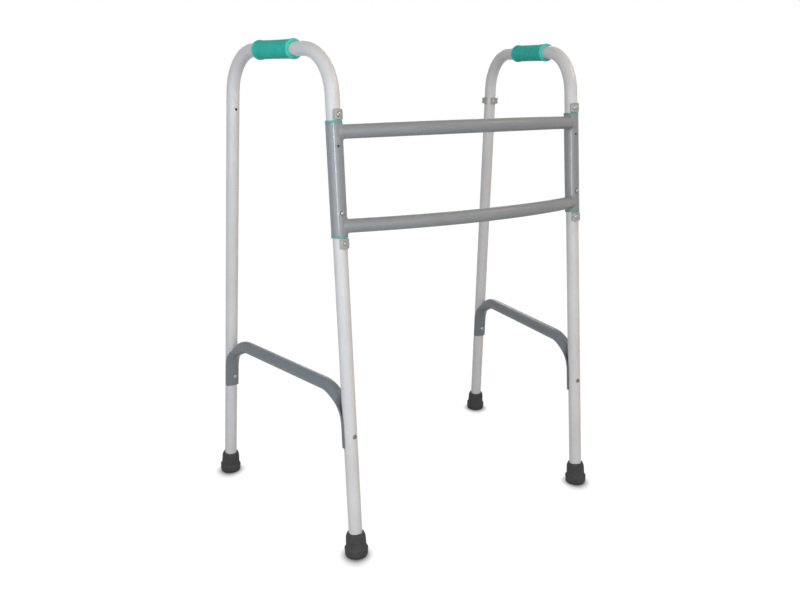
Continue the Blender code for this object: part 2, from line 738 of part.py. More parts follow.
def build_side_frame(side, walker, sleeve_axis, floor):
    """Everything that turns with one front leg."""
    name = SIDE_NAMES[side]
    foot = Matrix.Translation((side * FRONT_FOOT_OFFSET, 0, 0))
    fold_axis = guide(f"{name}_fold_axis", walker, foot @ side_frame_matrix(side))
    rear_leg = guide(f"{name}_rear_leg", fold_axis, rear_foot())
    tube = side_tube(side, fold_axis)
    grip(side, fold_axis)
    brace_piece = brace(side, fold_axis)

    far = SEAT_RADIUS + 2 * BRACE_WALL + BRACE_SLIT + OVERRUN
    height = RIVET_HEIGHT / math.cos(FRONT_LEAN)
    bore = RIVET_RADIUS + HOLE_GAP
    for place, leg in (("front", fold_axis), ("rear", rear_leg)):
        rivet(f"{name}_{place}_rivet", leg, height)
        hole = drill(f"{name}_{place}_rivet_hole", bore, -far, far, leg, FRONT_TURN, height)
        cut(tube, hole)
        cut(brace_piece, hole)
        ferrule(f"{name}_{place}_ferrule", leg, floor)
        washer(f"{name}_{place}_washer", leg)

    face = SEAT_RADIUS + STOP_THICKNESS
    stops = {"upper": SLEEVE_TOP + SEAT_GAP, "lower": SLEEVE_BOTTOM - SEAT_GAP - STOP_HEIGHT}
    for place, bottom in stops.items():
        piece = stop(f"{name}_{place}_stop", fold_axis, bottom)
        middle = bottom + STOP_HEIGHT / 2
        cut(tube, fasten(piece, f"{name}_{place}_stop_screw", fold_axis, FRONT_TURN, middle, face))

    splay = sleeve_turn(side)
    press_place = Matrix.Translation((0, 0, button_height())) @ Matrix.Rotation(splay, 4, "Z")
    press_axis = guide(f"{name}_button_axis", fold_axis, press_place)
    flange_back = lock_button(side, press_axis)
    button_spring(side, press_axis, flange_back)
    cut(tube, drill_wall(f"{name}_button_leg_hole", BUTTON_RADIUS + HOLE_GAP, press_axis, FRONT_TURN, 0.0))

    if side == RIGHT:
        clip = storage_clip(rear_leg)
        clip_face = SEAT_RADIUS + CLIP_THICKNESS
        cut(tube, fasten(clip, "clip_screw", rear_leg, REAR_TURN, CLIP_HEIGHT, clip_face))
    else:
        cut(tube, drill_wall("left_empty_hole", EMPTY_HOLE_RADIUS, rear_leg, REAR_TURN, EMPTY_HOLE_HEIGHT))


def sleeve_turn(side):
    """The sleeve's turn about the front leg, seen from the side frame."""
    lean, toe = panel_angles()
    sleeve_frame = Matrix.Rotation(-lean, 4, "X") @ Matrix.Rotation(-side * toe, 4, "Y")
    return (side_frame_matrix(side).inverted() @ sleeve_frame).to_euler().z


def centre_on_origin(walker):
    """Slide the walker so that its box stands centred over the origin."""
    bpy.context.view_layer.update()
    graph = bpy.context.evaluated_depsgraph_get()
    depths = []
    for item in bpy.context.scene.objects:
        if item.type == "MESH" and not item.hide_render:
            shown = item.evaluated_get(graph)
            depths += [(shown.matrix_world @ vertex.co).y for vertex in shown.data.vertices]
    walker.location.y -= (min(depths) + max(depths)) / 2


def build():
    clear_scene()
    walker = guide("walker")
    floor_size = (2 * FRONT_FOOT_OFFSET + FOOT_SPREAD, 2 * FOOT_SPREAD, FERRULE_SOLE)
    floor_place = Matrix.Translation((0, FOOT_SPREAD / 2, -FERRULE_SOLE / 2))
    floor = block("floor_cutter", floor_size, walker, floor_place)
    axes = build_front_panel(walker)
    for side in (LEFT, RIGHT):
        build_side_frame(side, walker, axes[side], floor)
    centre_on_origin(walker)


build()
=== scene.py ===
import json
from math import asin, atan2, copysign, cos, hypot, pi, radians, sin, sqrt, tan

import bmesh
import bpy
from mathutils import Matrix, Vector
from mathutils.geometry import intersect_line_line


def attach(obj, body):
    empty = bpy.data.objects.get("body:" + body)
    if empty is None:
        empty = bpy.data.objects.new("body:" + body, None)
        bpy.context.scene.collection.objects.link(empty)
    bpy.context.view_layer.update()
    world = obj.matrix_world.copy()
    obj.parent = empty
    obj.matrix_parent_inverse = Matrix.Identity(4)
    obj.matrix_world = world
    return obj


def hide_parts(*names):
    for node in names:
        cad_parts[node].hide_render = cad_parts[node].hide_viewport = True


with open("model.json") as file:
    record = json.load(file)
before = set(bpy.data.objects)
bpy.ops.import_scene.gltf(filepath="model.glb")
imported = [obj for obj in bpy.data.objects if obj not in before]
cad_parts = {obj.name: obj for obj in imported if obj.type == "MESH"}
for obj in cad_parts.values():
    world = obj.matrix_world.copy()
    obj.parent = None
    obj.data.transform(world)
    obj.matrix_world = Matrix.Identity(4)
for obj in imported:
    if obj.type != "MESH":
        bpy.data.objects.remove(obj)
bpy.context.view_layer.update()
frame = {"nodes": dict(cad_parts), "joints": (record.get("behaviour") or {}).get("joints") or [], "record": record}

# ---------------- sizes, as in the CAD, in metres
LEFT, RIGHT = -1, 1
SIDE_NAMES = {LEFT: "left", RIGHT: "right"}
QUARTER_TURN = pi / 2
UP = Vector((0.0, 0.0, 1.0))
ACROSS = Vector((1.0, 0.0, 0.0))

HANDLE_HEIGHT = 0.8875
HANDLE_RUN = 0.159
FRONT_FOOT_OFFSET = 0.269
FRONT_LEAN = radians(4.8)
REAR_LEAN = radians(4.53)
SIDE_SPLAY = radians(8.7)
SIDE_TILT = radians(1.1)
TUBE_RADIUS = 0.0125
TUBE_WALL = 0.0013
TOP_BEND_RADIUS = 0.081
TUBE_END_LIFT = 0.0021  # from the ferrule's sole to the tube's end, where the washer lies

SEAT_GAP = 0.0003
SEAT_RADIUS = TUBE_RADIUS + SEAT_GAP
BUSH_BORE = TUBE_RADIUS + 0.0004
BUSH_RADIUS = BUSH_BORE + 0.0004
SLEEVE_BORE = BUSH_RADIUS + 0.00015
SLEEVE_RADIUS = SLEEVE_BORE + 0.0009
SLEEVE_TOP = 0.774
SLEEVE_BOTTOM = SLEEVE_TOP - 0.195
BUSH_FLANGE = 0.003
BUSH_LIP = 0.0003
BUSH_SKIRT = 0.018
BUSH_ROUND = 0.0005
SLEEVE_ROUND = 0.0003

BAR_RADIUS = 0.012
BAR_WALL = 0.0013
BAR_BOW = 0.0615
WELD_WIDTH = 0.0042
WELD_SINK = 0.0004
WELD_LIFT = 0.00003
UPPER_BAR_HEIGHT = SLEEVE_TOP - 0.0188
LOWER_BAR_HEIGHT = SLEEVE_BOTTOM + 0.0195

STOP_HEIGHT = 0.018
STOP_THICKNESS = 0.0036
STOP_HALF_ANGLE = radians(39)
STOP_CORNER = 0.003
SCREW_RADIUS = 0.0019
SCREW_HEAD_RADIUS = 0.0036
SCREW_HEAD_HEIGHT = 0.0022
SCREW_SINK = 0.0019
SCREW_TURNS = 9
SCREW_BORE = SCREW_RADIUS + SEAT_GAP
SCREW_WELL = SCREW_HEAD_RADIUS + SEAT_GAP
RECESS_SIZE = (0.004, 0.0009, 0.0024)
RECESS_TAPER = 0.45

BUTTON_RADIUS = 0.0039
BUTTON_PROUD = 0.003
BUTTON_DOME = 0.55  # the dome's height as a share of the button's radius
BUTTON_FLANGE_RADIUS = 0.0052
BUTTON_FLANGE = 0.001
BUTTON_HOLE_RADIUS = BUTTON_RADIUS + SEAT_GAP
BUTTON_HEIGHT = SLEEVE_BOTTOM + 0.042
SPARE_HOLE_RADIUS = 0.003
SPARE_HOLE_HEIGHT = SLEEVE_TOP - 0.042
COUNTERSINK = 0.0012

BRACE_RADIUS = 0.0122
BRACE_WALL = 0.0012
BRACE_SLIT = 0.0003
BRACE_HEIGHT = 0.3035
BRACE_END_HEIGHT = 0.2025
BRACE_BEND_RADIUS = 0.065
BRACE_OFFSET = 0.012  # from the leg's axis to the brace's, where its end lies along the leg
BRACE_WRAP = radians(88)
BRACE_FLAT = 0.058  # length of the pressed end
BRACE_MORPH = 0.050  # length over which the section turns round again
BRACE_END_ROUND = 0.0035
BRACE_SCALLOP = 0.0035  # how far the middle of the cut end stands back
BRACE_SCALLOP_REACH = 0.02
BRACE_SQUARENESS = 4.0  # how blunt the crescent's two edges are

RIVET_HEIGHT = 0.2265 / cos(FRONT_LEAN)
RIVET_RADIUS = 0.0021
RIVET_HEAD_RADIUS = 0.0041
RIVET_HEAD = 0.002

GRIP_LENGTH = 0.114
GRIP_RADIUS = 0.0163
GRIP_RIM_RADIUS = 0.0176
GRIP_BAND = 0.012  # length of each end, up to the ribbed middle
GRIP_ROUND = 0.002
GRIP_RIBS = 39
GRIP_RIB_FORM = (0.0, 0.00006, 0.0, -0.0002)
GRIP_WAVES = 9
GRIP_WAVE = 0.00022
GRIP_WAIST = 0.0003
# Reach and fade of the painted glow at each end of a grip
GLOW_PAINT_REACH = 0.008
GLOW_PAINT_FADE = 0.006
LEFT_GRIP_TO_REAR_BEND = 0.018
RIGHT_GRIP_TO_FRONT_BEND = 0.008

FERRULE_HEIGHT = 0.0438
FERRULE_TOP_RADIUS = 0.0159
FERRULE_COLLAR_RADIUS = 0.018
FERRULE_BELL_RADIUS = 0.0212
FERRULE_SHOULDER = 0.0168
FERRULE_SOLE = 0.010
FERRULE_OVERLAP = 0.0022
FERRULE_ROUND = 0.0012
FERRULE_BANDS = 4
FERRULE_RIBS = [radians(a) for a in (-42, 42, 138, 222)]
RIB_LOW = FERRULE_SHOULDER - 0.008
RIB_HIGH = FERRULE_HEIGHT - 0.0035
RIB_HEIGHT = 0.0007
RIB_GROOVE = 0.0004
RIB_EDGE = 0.955  # cosine of twice the angle at which a rib begins
GROOVE_EDGE = 0.93
RIB_SOFT = 0.02
RIB_FOOT = 0.006
RIB_TIP = 0.003

CLIP_HEIGHT = 0.789
CLIP_LENGTH = 0.0135
CLIP_THICKNESS = 0.0052
CLIP_ROUND = 0.0009
CLIP_MOUTH_TURN = radians(40)
CLIP_MOUTH_HALF_ANGLE = radians(21)

EMPTY_HOLE_HEIGHT = 0.783
EMPTY_HOLE_RADIUS = 0.0027
LEG_HOLE_RADIUS = 0.0024  # the dark hole in the leg that shows through the sleeve's spare hole

FRONT_BEND_REACH = TOP_BEND_RADIUS * tan((QUARTER_TURN - FRONT_LEAN) / 2)
REAR_BEND_REACH = TOP_BEND_RADIUS * tan((QUARTER_TURN - REAR_LEAN) / 2)
HANDLE_DEPTH = FRONT_BEND_REACH + HANDLE_RUN + REAR_BEND_REACH
FOOT_SPREAD = HANDLE_DEPTH + HANDLE_HEIGHT * (tan(FRONT_LEAN) + tan(REAR_LEAN))

# ---------------- how fine the meshes are
TUBE_SIDES = 64
TUBE_STEPS = 90
BEND_STEPS = 40
BRACE_STEPS = 50
BRACE_BEND_STEPS = 20
BRACE_FLAT_STEPS = 10
BRACE_MORPH_STEPS = 24
BRACE_END_RINGS = [0.0, 0.0002, 0.0006, 0.0012, 0.002, 0.0029, 0.0038]
BAR_STEPS = 72
SLEEVE_STEPS = 16
CLIP_STEPS = 70
CLIP_END_STEPS = 4
DOME_STEPS = 12
RIVET_DOME = (0.25, 0.5, 0.7, 0.85, 0.95)
SMALL_SIDES = 40
STOP_SIDES = 72
FERRULE_SIDES = 128
WELD_SIDES = 96
WELD_STEPS = 8
BISECTIONS = 40
HOLE_MARGIN = 0.006  # rings of the mesh stand this far from a hole's middle
SPARE_HOLE_MARGIN = 0.005
DRILL_REACH = (0.007, 0.016)  # the radii between which a leg's wall is drilled
POLE_RADIUS = 0.0004  # a turned body ends in a tiny flat, not in a point
ROUND_SHARE = 0.45  # a rounding takes at most this share of an edge
SHARP_ANGLE = radians(32)
FERRULE_SHARP = radians(50)
GRIP_SHARP = radians(60)

RECORD = frame["record"]
BODY_OF = {node: body for body, nodes in RECORD["behaviour"]["bodies"].items() for node in nodes}
FOLD_POINTS = {joint["name"]: Vector(joint["pos_m"]) for joint in frame["joints"] if joint["type"] == "hinge"}
FOOT = {side: FOLD_POINTS[f"{SIDE_NAMES[side]}_side_fold"] for side in (LEFT, RIGHT)}


# ---------------- frames of the walker
def side_turn(side):
    """Turn of a side frame: leant back, tilted in at the top and splayed out at the rear."""
    splay = Matrix.Rotation(-side * SIDE_SPLAY, 4, "Z")
    tilt = Matrix.Rotation(-side * SIDE_TILT, 4, "Y")
    return splay @ tilt @ Matrix.Rotation(-FRONT_LEAN, 4, "X")


def leg_frame(side, place="front"):
    """A leg's frame, Z up the leg, in the world. The rear leg's -Y points out of the side frame."""
    front = Matrix.Translation(FOOT[side]) @ side_turn(side)
    return front if place == "front" else front @ rear_foot()


# The panel leans with the front legs, and its sleeves toe in at the top with them
PANEL_WAY = side_turn(LEFT).to_3x3() @ UP
PANEL_LEAN = atan2(PANEL_WAY.y, PANEL_WAY.z)
PANEL_TOE = asin(PANEL_WAY.x)


def panel_frame():
    return Matrix.Translation((0.0, FOOT[LEFT].y, 0.0)) @ Matrix.Rotation(-PANEL_LEAN, 4, "X")


def sleeve_frame(side):
    place = Matrix.Translation((side * FRONT_FOOT_OFFSET, 0, 0)) @ Matrix.Rotation(-side * PANEL_TOE, 4, "Y")
    return panel_frame() @ place


def on_frame(along, up):
    """A level distance and a height in a side frame's plane, in the front leg's frame."""
    return Matrix.Rotation(FRONT_LEAN, 3, "X") @ Vector((0.0, along, up))


def at_height(foot_along, lean, inset, height):
    """Where a line along a leg passes a height, in the side frame's own axes."""
    direction = Vector((0.0, sin(lean), cos(lean)))
    inwards = Vector((0.0, cos(lean), -sin(lean))) * copysign(inset, lean)
    foot = Vector((0.0, foot_along, 0.0)) + inwards
    level = UP * height
    point, _ = intersect_line_line(foot, foot + direction, level, level + Vector((0.0, 1.0, 0.0)))
    return on_frame(point.y, point.z)


def rear_foot():
    """The rear leg's place in the front leg's frame."""
    lean = Matrix.Rotation(FRONT_LEAN + REAR_LEAN, 4, "X")
    return Matrix.Translation(on_frame(FOOT_SPREAD, 0.0)) @ lean @ Matrix.Rotation(pi, 4, "Z")


def lifted(height):
    return Matrix.Translation((0, 0, height))


def outwards(turn, height):
    """A place on a leg whose Z axis points away from the leg's axis: forwards, and then turned."""
    return lifted(height) @ Matrix.Rotation(turn, 4, "Z") @ Matrix.Rotation(QUARTER_TURN, 4, "X")


# ---------------- mesh helpers
def add_object(name, data):
    item = bpy.data.objects.new(name, data)
    bpy.context.scene.collection.objects.link(item)
    return item


def smooth(mesh, sharp):
    """Smooth shading up to an angle between two faces."""
    mesh.shade_smooth()
    mesh.set_sharp_from_angle(angle=sharp)


def make_object(name, bm, place, finish, sharp=SHARP_ANGLE):
    """A mesh in world coordinates, so that its box is as tight as the CAD's."""
    bm.transform(place)
    bmesh.ops.recalc_face_normals(bm, faces=bm.faces)
    if bm.calc_volume(signed=True) < 0:
        bmesh.ops.reverse_faces(bm, faces=bm.faces)
    mesh = bpy.data.meshes.new(name)
    bm.to_mesh(mesh)
    bm.free()
    smooth(mesh, sharp)
    if finish:
        mesh.materials.append(finish)
    return add_object(name, mesh)


def mark(item, name, values):
    """Store a number for each vertex, for the finish to read."""
    layer = item.data.attributes.new(name, "FLOAT", "POINT")
    layer.data.foreach_set("value", values)


def skinned(name, rings, place, finish, closed=True, sharp=SHARP_ANGLE):
    """Each ring of points joined to the next; the last joins the first, or else both ends are capped."""
    bm = bmesh.new()
    loops = [[bm.verts.new(point) for point in ring] for ring in rings]
    pairs = list(zip(loops, loops[1:]))
    if closed:
        pairs.append((loops[-1], loops[0]))
    for one, other in pairs:
        count = len(one)
        for i in range(count):
            after = (i + 1) % count
            bm.faces.new((one[i], one[after], other[after], other[i]))
    if not closed:
        bm.faces.new(loops[0])
        bm.faces.new(loops[-1])
    return make_object(name, bm, place, finish, sharp)


def clamp(value):
    return min(1.0, max(0.0, value))


def circle_angles(sides):
    return [2 * pi * i / sides for i in range(sides)]


def turned(name, profile, place, finish, closed=False, sides=TUBE_SIDES, shape=None, sharp=SHARP_ANGLE):
    """A body turned about Z; shape changes a radius by angle and height."""
    rings = []
    for r, z in profile:
        ring = []
        for a in circle_angles(sides):
            radius = shape(r, z, a) if shape else r
            ring.append(Vector((radius * cos(a), radius * sin(a), z)))
        rings.append(ring)
    return skinned(name, rings, place, finish, closed, sharp)


def curve(start, corner, end, steps):
    """Points of a smooth curve that leaves and arrives in line with a corner."""
    shares = [i / steps for i in range(steps + 1)]
    return [start * (1 - t) ** 2 + corner * 2 * t * (1 - t) + end * t ** 2 for t in shares]


def rounded(points, radius, steps):
    """A profile of (r, z) points with its inner corners rounded."""
    out = [points[0]]
    for before, corner, after in zip(points, points[1:], points[2:]):
        c = Vector(corner)
        into = Vector(before) - c
        away = Vector(after) - c
        reach = min(radius, into.length * ROUND_SHARE, away.length * ROUND_SHARE)
        start = c + into.normalized() * reach
        end = c + away.normalized() * reach
        out += [(point.x, point.y) for point in curve(start, c, end, steps)]
    out.append(points[-1])
    return out


def carve(item, cutters):
    """Take cutters away from a piece and drop them."""
    for cutter in cutters:
        step = item.modifiers.new("cut", "BOOLEAN")
        step.operation = "DIFFERENCE"
        step.solver = "EXACT"
        step.object = cutter
    graph = bpy.context.evaluated_depsgraph_get()
    bpy.context.view_layer.update()
    mesh = bpy.data.meshes.new_from_object(item.evaluated_get(graph))
    item.modifiers.clear()
    item.data = mesh
    for cutter in cutters:
        bpy.data.objects.remove(cutter)
    smooth(item.data, SHARP_ANGLE)


def stands_for(item, node):
    """The piece rides where its CAD node rides and is shown in its place."""
    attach(item, BODY_OF[node])
    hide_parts(node)


# ---------------- bent tubes
def route(corners, radius):
    """Straight runs and bends through the corners, as (length, function of distance) pairs."""
    pieces = []
    start = corners[0]
    for before, corner, after in zip(corners, corners[1:], corners[2:]):
        arriving = (corner - before).normalized()
        leaving = (after - corner).normalized()
        turn = arriving.angle(leaving)
        reach = radius * tan(turn / 2)
        bend_start = corner - arriving * reach
        axis = arriving.cross(leaving).normalized()
        centre = bend_start + axis.cross(arriving) * radius
        pieces.append(straight(start, bend_start))
        pieces.append(bend(bend_start, centre, axis, arriving, turn, radius))
        start = corner + leaving * reach
    pieces.append(straight(start, corners[-1]))
    return pieces


def straight(start, end):
    """A straight run: its length, and its point and direction at a distance."""
    length = (end - start).length
    direction = (end - start).normalized()
    return length, lambda distance: (start + direction * distance, direction)


def bend(start, centre, axis, arriving, turn, radius):
    """A bend: its length, and its point and direction at a distance."""
    def place(distance):
        swing = Matrix.Rotation(distance / radius, 3, axis)
        return centre + swing @ (start - centre), swing @ arriving

    return turn * radius, place


def along_route(pieces, distance):
    """Point and direction at a distance along a route."""
    for length, place in pieces[:-1]:
        if distance <= length:
            return place(distance)
        distance -= length
    return pieces[-1][1](distance)


def route_length(pieces):
    return sum(length for length, _ in pieces)


def station_distances(pieces, bend_steps, extra):
    """Where the rings of a tube stand: its ends, its bends in even steps, and the extra ones."""
    stations = [0.0, route_length(pieces), *extra]
    passed = 0.0
    for number, (length, _) in enumerate(pieces):
        if number % 2:
            stations += [passed + length * i / bend_steps for i in range(bend_steps + 1)]
        passed += length
    return sorted(set(round(s, 6) for s in stations))


def tube_rings(stations, radius):
    angles = circle_angles(TUBE_SIDES)
    rings = []
    for point, direction in stations:
        outer = ACROSS.cross(direction)
        rings.append([point + (ACROSS * cos(a) + outer * sin(a)) * radius for a in angles])
    return rings


# ---------------- finishes
# How much paler the painted glow makes a thin edge, standing in for light that shines through it
GLOW_PAINT_SHARE = 1.2
GLOW_PAINT_LIFT = 0.02


def feed(socket, value):
    """Set a node's input to a value, or link it to another node's output."""
    if isinstance(value, bpy.types.NodeSocket):
        socket.id_data.links.new(value, socket)
    else:
        socket.default_value = value


def add_node(tree, kind, *values, **inputs):
    """A node whose inputs are given in their order or by name, each a value or another node's output."""
    node = tree.nodes.new(kind)
    for socket, value in zip(node.inputs, values):
        feed(socket, value)
    for name, value in inputs.items():
        feed(node.inputs[name.replace("_", " ")], value)
    return node


def new_material(name, colour, roughness, **inputs):
    """A material, its node tree, its shader, and the coordinates on the object."""
    finish = bpy.data.materials.new(name)
    finish.use_nodes = True
    tree = finish.node_tree
    shader = tree.nodes["Principled BSDF"]
    inputs.update(Base_Color=(*colour, 1.0), Roughness=roughness)
    for socket, value in inputs.items():
        feed(shader.inputs[socket.replace("_", " ")], value)
    return finish, tree, shader, add_node(tree, "ShaderNodeTexCoord").outputs["Object"]


def noise(tree, coords, scale, detail, roughness=0.5, stretch=None):
    """Noise from 0 to 1, its scale in grains a metre."""
    if stretch:
        coords = add_node(tree, "ShaderNodeMapping", Vector=coords, Scale=stretch).outputs["Vector"]
    settings = {"Scale": scale, "Detail": detail, "Roughness": roughness}
    return add_node(tree, "ShaderNodeTexNoise", Vector=coords, **settings).outputs["Fac"]


def uneven_gloss(tree, shader, value, low, high):
    """Roughness between two limits, after a 0 to 1 value."""
    spread = add_node(tree, "ShaderNodeMapRange", Value=value, To_Min=low, To_Max=high)
    feed(shader.inputs["Roughness"], spread.outputs["Result"])


def bump(tree, shader, height, distance, strength):
    relief = add_node(tree, "ShaderNodeBump", Height=height, Distance=distance, Strength=strength)
    feed(shader.inputs["Normal"], relief.outputs["Normal"])


def mottled(tree, shader, coords, colour, scale, low, high):
    """Base colour that drifts a little over the surface."""
    ramp = add_node(tree, "ShaderNodeValToRGB", Fac=noise(tree, coords, scale, detail=3.0))
    for tone, at, share in zip(ramp.color_ramp.elements, (0.3, 0.7), (low, high)):
        tone.position = at
        tone.color = (*(c * share for c in colour), 1.0)
    feed(shader.inputs["Base Color"], ramp.outputs["Color"])
    return ramp.outputs["Color"]


def paint_glow_edge(tree, shader, tone, colour):
    """Painted glow: a paler base colour where the mesh marks a thin edge, standing in for light that shines
    through it; the mesh stores where that is.
    """
    where = tree.nodes.new("ShaderNodeAttribute")
    where.attribute_name = "painted_glow_edge"
    mix = tree.nodes.new("ShaderNodeMix")
    mix.data_type = "RGBA"
    glow_tone = (*(c * GLOW_PAINT_SHARE + GLOW_PAINT_LIFT for c in colour), 1.0)
    for number, value in ((0, where.outputs["Fac"]), (6, tone), (7, glow_tone)):
        feed(mix.inputs[number], value)
    feed(shader.inputs["Base Color"], mix.outputs[2])


def stove_enamel(name, colour, roughness, coat):
    """Baked enamel on tube: faint orange peel, a drifting tone and slightly uneven gloss."""
    finish, tree, shader, coords = new_material(name, colour, roughness, Coat_Weight=coat,
                                                Coat_Roughness=0.1, Specular_IOR_Level=0.25)
    mottled(tree, shader, coords, colour, scale=14.0, low=0.96, high=1.04)
    gloss = noise(tree, coords, scale=45.0, detail=4.0)
    uneven_gloss(tree, shader, gloss, roughness - 0.06, roughness + 0.08)
    peel = noise(tree, coords, scale=620.0, detail=2.0)
    bump(tree, shader, peel, distance=0.00005, strength=0.6)
    return finish


def rubber(name, colour, roughness, grain, glow=0.0):
    """Moulded rubber: drifting tone, dusty gloss and a fine grain; glow is how much light soaks in."""
    finish, tree, shader, coords = new_material(name, colour, roughness, Specular_IOR_Level=0.25,
                                                Subsurface_Weight=glow, Subsurface_Scale=0.008,
                                                Subsurface_Radius=(0.6, 1.0, 0.9))
    tone = mottled(tree, shader, coords, colour, scale=60.0, low=0.9, high=1.08)
    # Painted glow: thin edges marked on the mesh get a paler base colour, standing in for light shining through
    # them
    if glow:
        paint_glow_edge(tree, shader, tone, colour)
    dust = noise(tree, coords, scale=180.0, detail=4.0, roughness=0.6)
    uneven_gloss(tree, shader, dust, roughness - 0.1, roughness + 0.12)
    skin_grain = noise(tree, coords, scale=1900.0, detail=3.0)
    bump(tree, shader, skin_grain, distance=0.00009, strength=grain)
    return finish


def clear_plastic(name, colour):
    """Milky plastic that lets some light through, with flow marks."""
    finish, tree, shader, coords = new_material(name, colour, 0.3, Transmission_Weight=0.3, IOR=1.49)
    mottled(tree, shader, coords, colour, scale=160.0, low=0.9, high=1.08)
    flow = noise(tree, coords, scale=240.0, detail=3.0)
    uneven_gloss(tree, shader, flow, 0.24, 0.4)
    bump(tree, shader, flow, distance=0.00008, strength=0.5)
    return finish


def plated_steel(name, colour, roughness):
    """Metal with fine turning marks."""
    finish, tree, shader, coords = new_material(name, colour, roughness, Metallic=1.0)
    mottled(tree, shader, coords, colour, scale=500.0, low=0.8, high=1.1)
    turning = noise(tree, coords, scale=900.0, detail=3.0, roughness=0.6, stretch=(1.0, 1.0, 0.15))
    uneven_gloss(tree, shader, turning, roughness - 0.08, roughness + 0.15)
    bump(tree, shader, turning, distance=0.00003, strength=0.6)
    return finish


WHITE_COAT = stove_enamel("white_enamel", (0.655, 0.65, 0.65), 0.36, 0.3)
GREY_COAT = stove_enamel("blue_grey_enamel", (0.262, 0.276, 0.29), 0.42, 0.3)
BAR_COAT = stove_enamel("bar_enamel", (0.26, 0.274, 0.288), 0.42, 0.06)
# Painted shade: a darker copy of the blue-grey enamel for the braces, standing in for the dimmer light low down
SHADED_BRACE_COAT = stove_enamel("brace_enamel_painted_shade", (0.168, 0.19, 0.21), 0.42, 0.25)
TEAL_GRIP = rubber("teal_grip_rubber", (0.03, 0.5, 0.41), 0.6, 0.5, 0.4)
TEAL_BUSH = rubber("teal_bush_plastic", (0.11, 0.47, 0.39), 0.42, 0.2, 0.35)
BLACK_RUBBER = rubber("black_ferrule_rubber", (0.056, 0.055, 0.056), 0.68, 0.6)
CLEAR_GREY = clear_plastic("clear_grey_plastic_moulding", (0.485, 0.483, 0.468))
STEEL = plated_steel("plated_steel", (0.42, 0.41, 0.39), 0.24)
# Painted reflection: a darker copy of the plated steel for the lock buttons, standing in for the darker
# surroundings their domes reflect
DARKENED_BUTTON_STEEL = plated_steel("button_steel_painted_dark_reflection", (0.31, 0.306, 0.3), 0.26)
REAR_RIVET = plated_steel("dull_rivet_steel", (0.33, 0.32, 0.315), 0.33)
# Painted shade: the front rivets get a darker, browner copy of the rivet steel, standing in for the shade and dark
# reflections on them
SHADED_FRONT_RIVET = plated_steel("front_rivet_steel_painted_shade", (0.2, 0.155, 0.125), 0.36)


# ---------------- side frames
def side_tube(side):
    name = f"{SIDE_NAMES[side]}_side_tube"
    lift = FERRULE_SOLE + TUBE_END_LIFT
    corners = [
        UP * lift,
        at_height(0.0, FRONT_LEAN, 0.0, HANDLE_HEIGHT),
        at_height(FOOT_SPREAD, -REAR_LEAN, 0.0, HANDLE_HEIGHT),
        rear_foot() @ (UP * lift),
    ]
    pieces = route(corners, TOP_BEND_RADIUS)
    total = route_length(pieces)
    hole = total - (EMPTY_HOLE_HEIGHT - lift)
    spots = (hole, BUTTON_HEIGHT - lift, SPARE_HOLE_HEIGHT - lift)
    near_holes = [spot + step for spot in spots for step in (-HOLE_MARGIN, HOLE_MARGIN)]
    even = [total * i / TUBE_STEPS for i in range(TUBE_STEPS + 1)]
    stations = [along_route(pieces, d) for d in station_distances(pieces, BEND_STEPS, near_holes + even)]
    outside = tube_rings(stations, TUBE_RADIUS)
    inside = tube_rings(stations, TUBE_RADIUS - TUBE_WALL)
    tube = skinned(name + "_detail", outside + inside[::-1], leg_frame(side), WHITE_COAT)
    holes = [
        (BUTTON_HOLE_RADIUS, sleeve_frame(side) @ outwards(0.0, BUTTON_HEIGHT)),
        (LEG_HOLE_RADIUS, sleeve_frame(side) @ outwards(0.0, SPARE_HOLE_HEIGHT)),
    ]
    if side == LEFT:
        holes.append((EMPTY_HOLE_RADIUS, leg_frame(side, "rear") @ outwards(pi, EMPTY_HOLE_HEIGHT)))
    drills = []
    for radius, place in holes:
        profile = [(radius, reach) for reach in DRILL_REACH]
        drills.append(turned("drill", profile, place, None, sides=SMALL_SIDES))
    carve(tube, drills)
    stands_for(tube, name)


def pressed(distance):
    """How far the brace's section is pressed flat at a distance from its end, from 1 to 0."""
    share = clamp((distance - BRACE_FLAT) / BRACE_MORPH)
    return 1.0 - share * share * (3.0 - 2.0 * share)


def brace_section(point, direction, distance, inset, into):
    """The brace's outline: a circle, pressed into a crescent round the leg near its curved end."""
    flatness = pressed(distance)
    outer = ACROSS.cross(direction)
    leg = point + outer * BRACE_OFFSET
    near = SEAT_RADIUS + inset
    far = SEAT_RADIUS + 2 * BRACE_WALL + BRACE_SLIT - inset
    corner = max(0.0, 1.0 - distance / BRACE_END_ROUND)
    trim = BRACE_END_ROUND * (1.0 - sqrt(max(0.0, 1.0 - corner * corner)))
    wrap = (BRACE_WRAP - (inset + trim) / near) / QUARTER_TURN
    middle = (near + far) / 2
    half = (far - near) / 2
    ring = []
    for angle in circle_angles(TUBE_SIDES):
        circle = point + (ACROSS * cos(angle) + outer * sin(angle)) * (BRACE_RADIUS - inset)
        edge = sin(angle)
        depth = half * copysign(min(1.0, abs(edge) * BRACE_SQUARENESS), edge)
        swing = wrap * asin(max(-1.0, min(1.0, cos(angle))))
        crescent = leg + (ACROSS * sin(swing) - outer * cos(swing)) * (middle - depth)
        scallop = BRACE_SCALLOP * cos(swing) * max(0.0, 1.0 - distance / BRACE_SCALLOP_REACH)
        ring.append(circle.lerp(crescent + direction * into * scallop, flatness))
    return ring


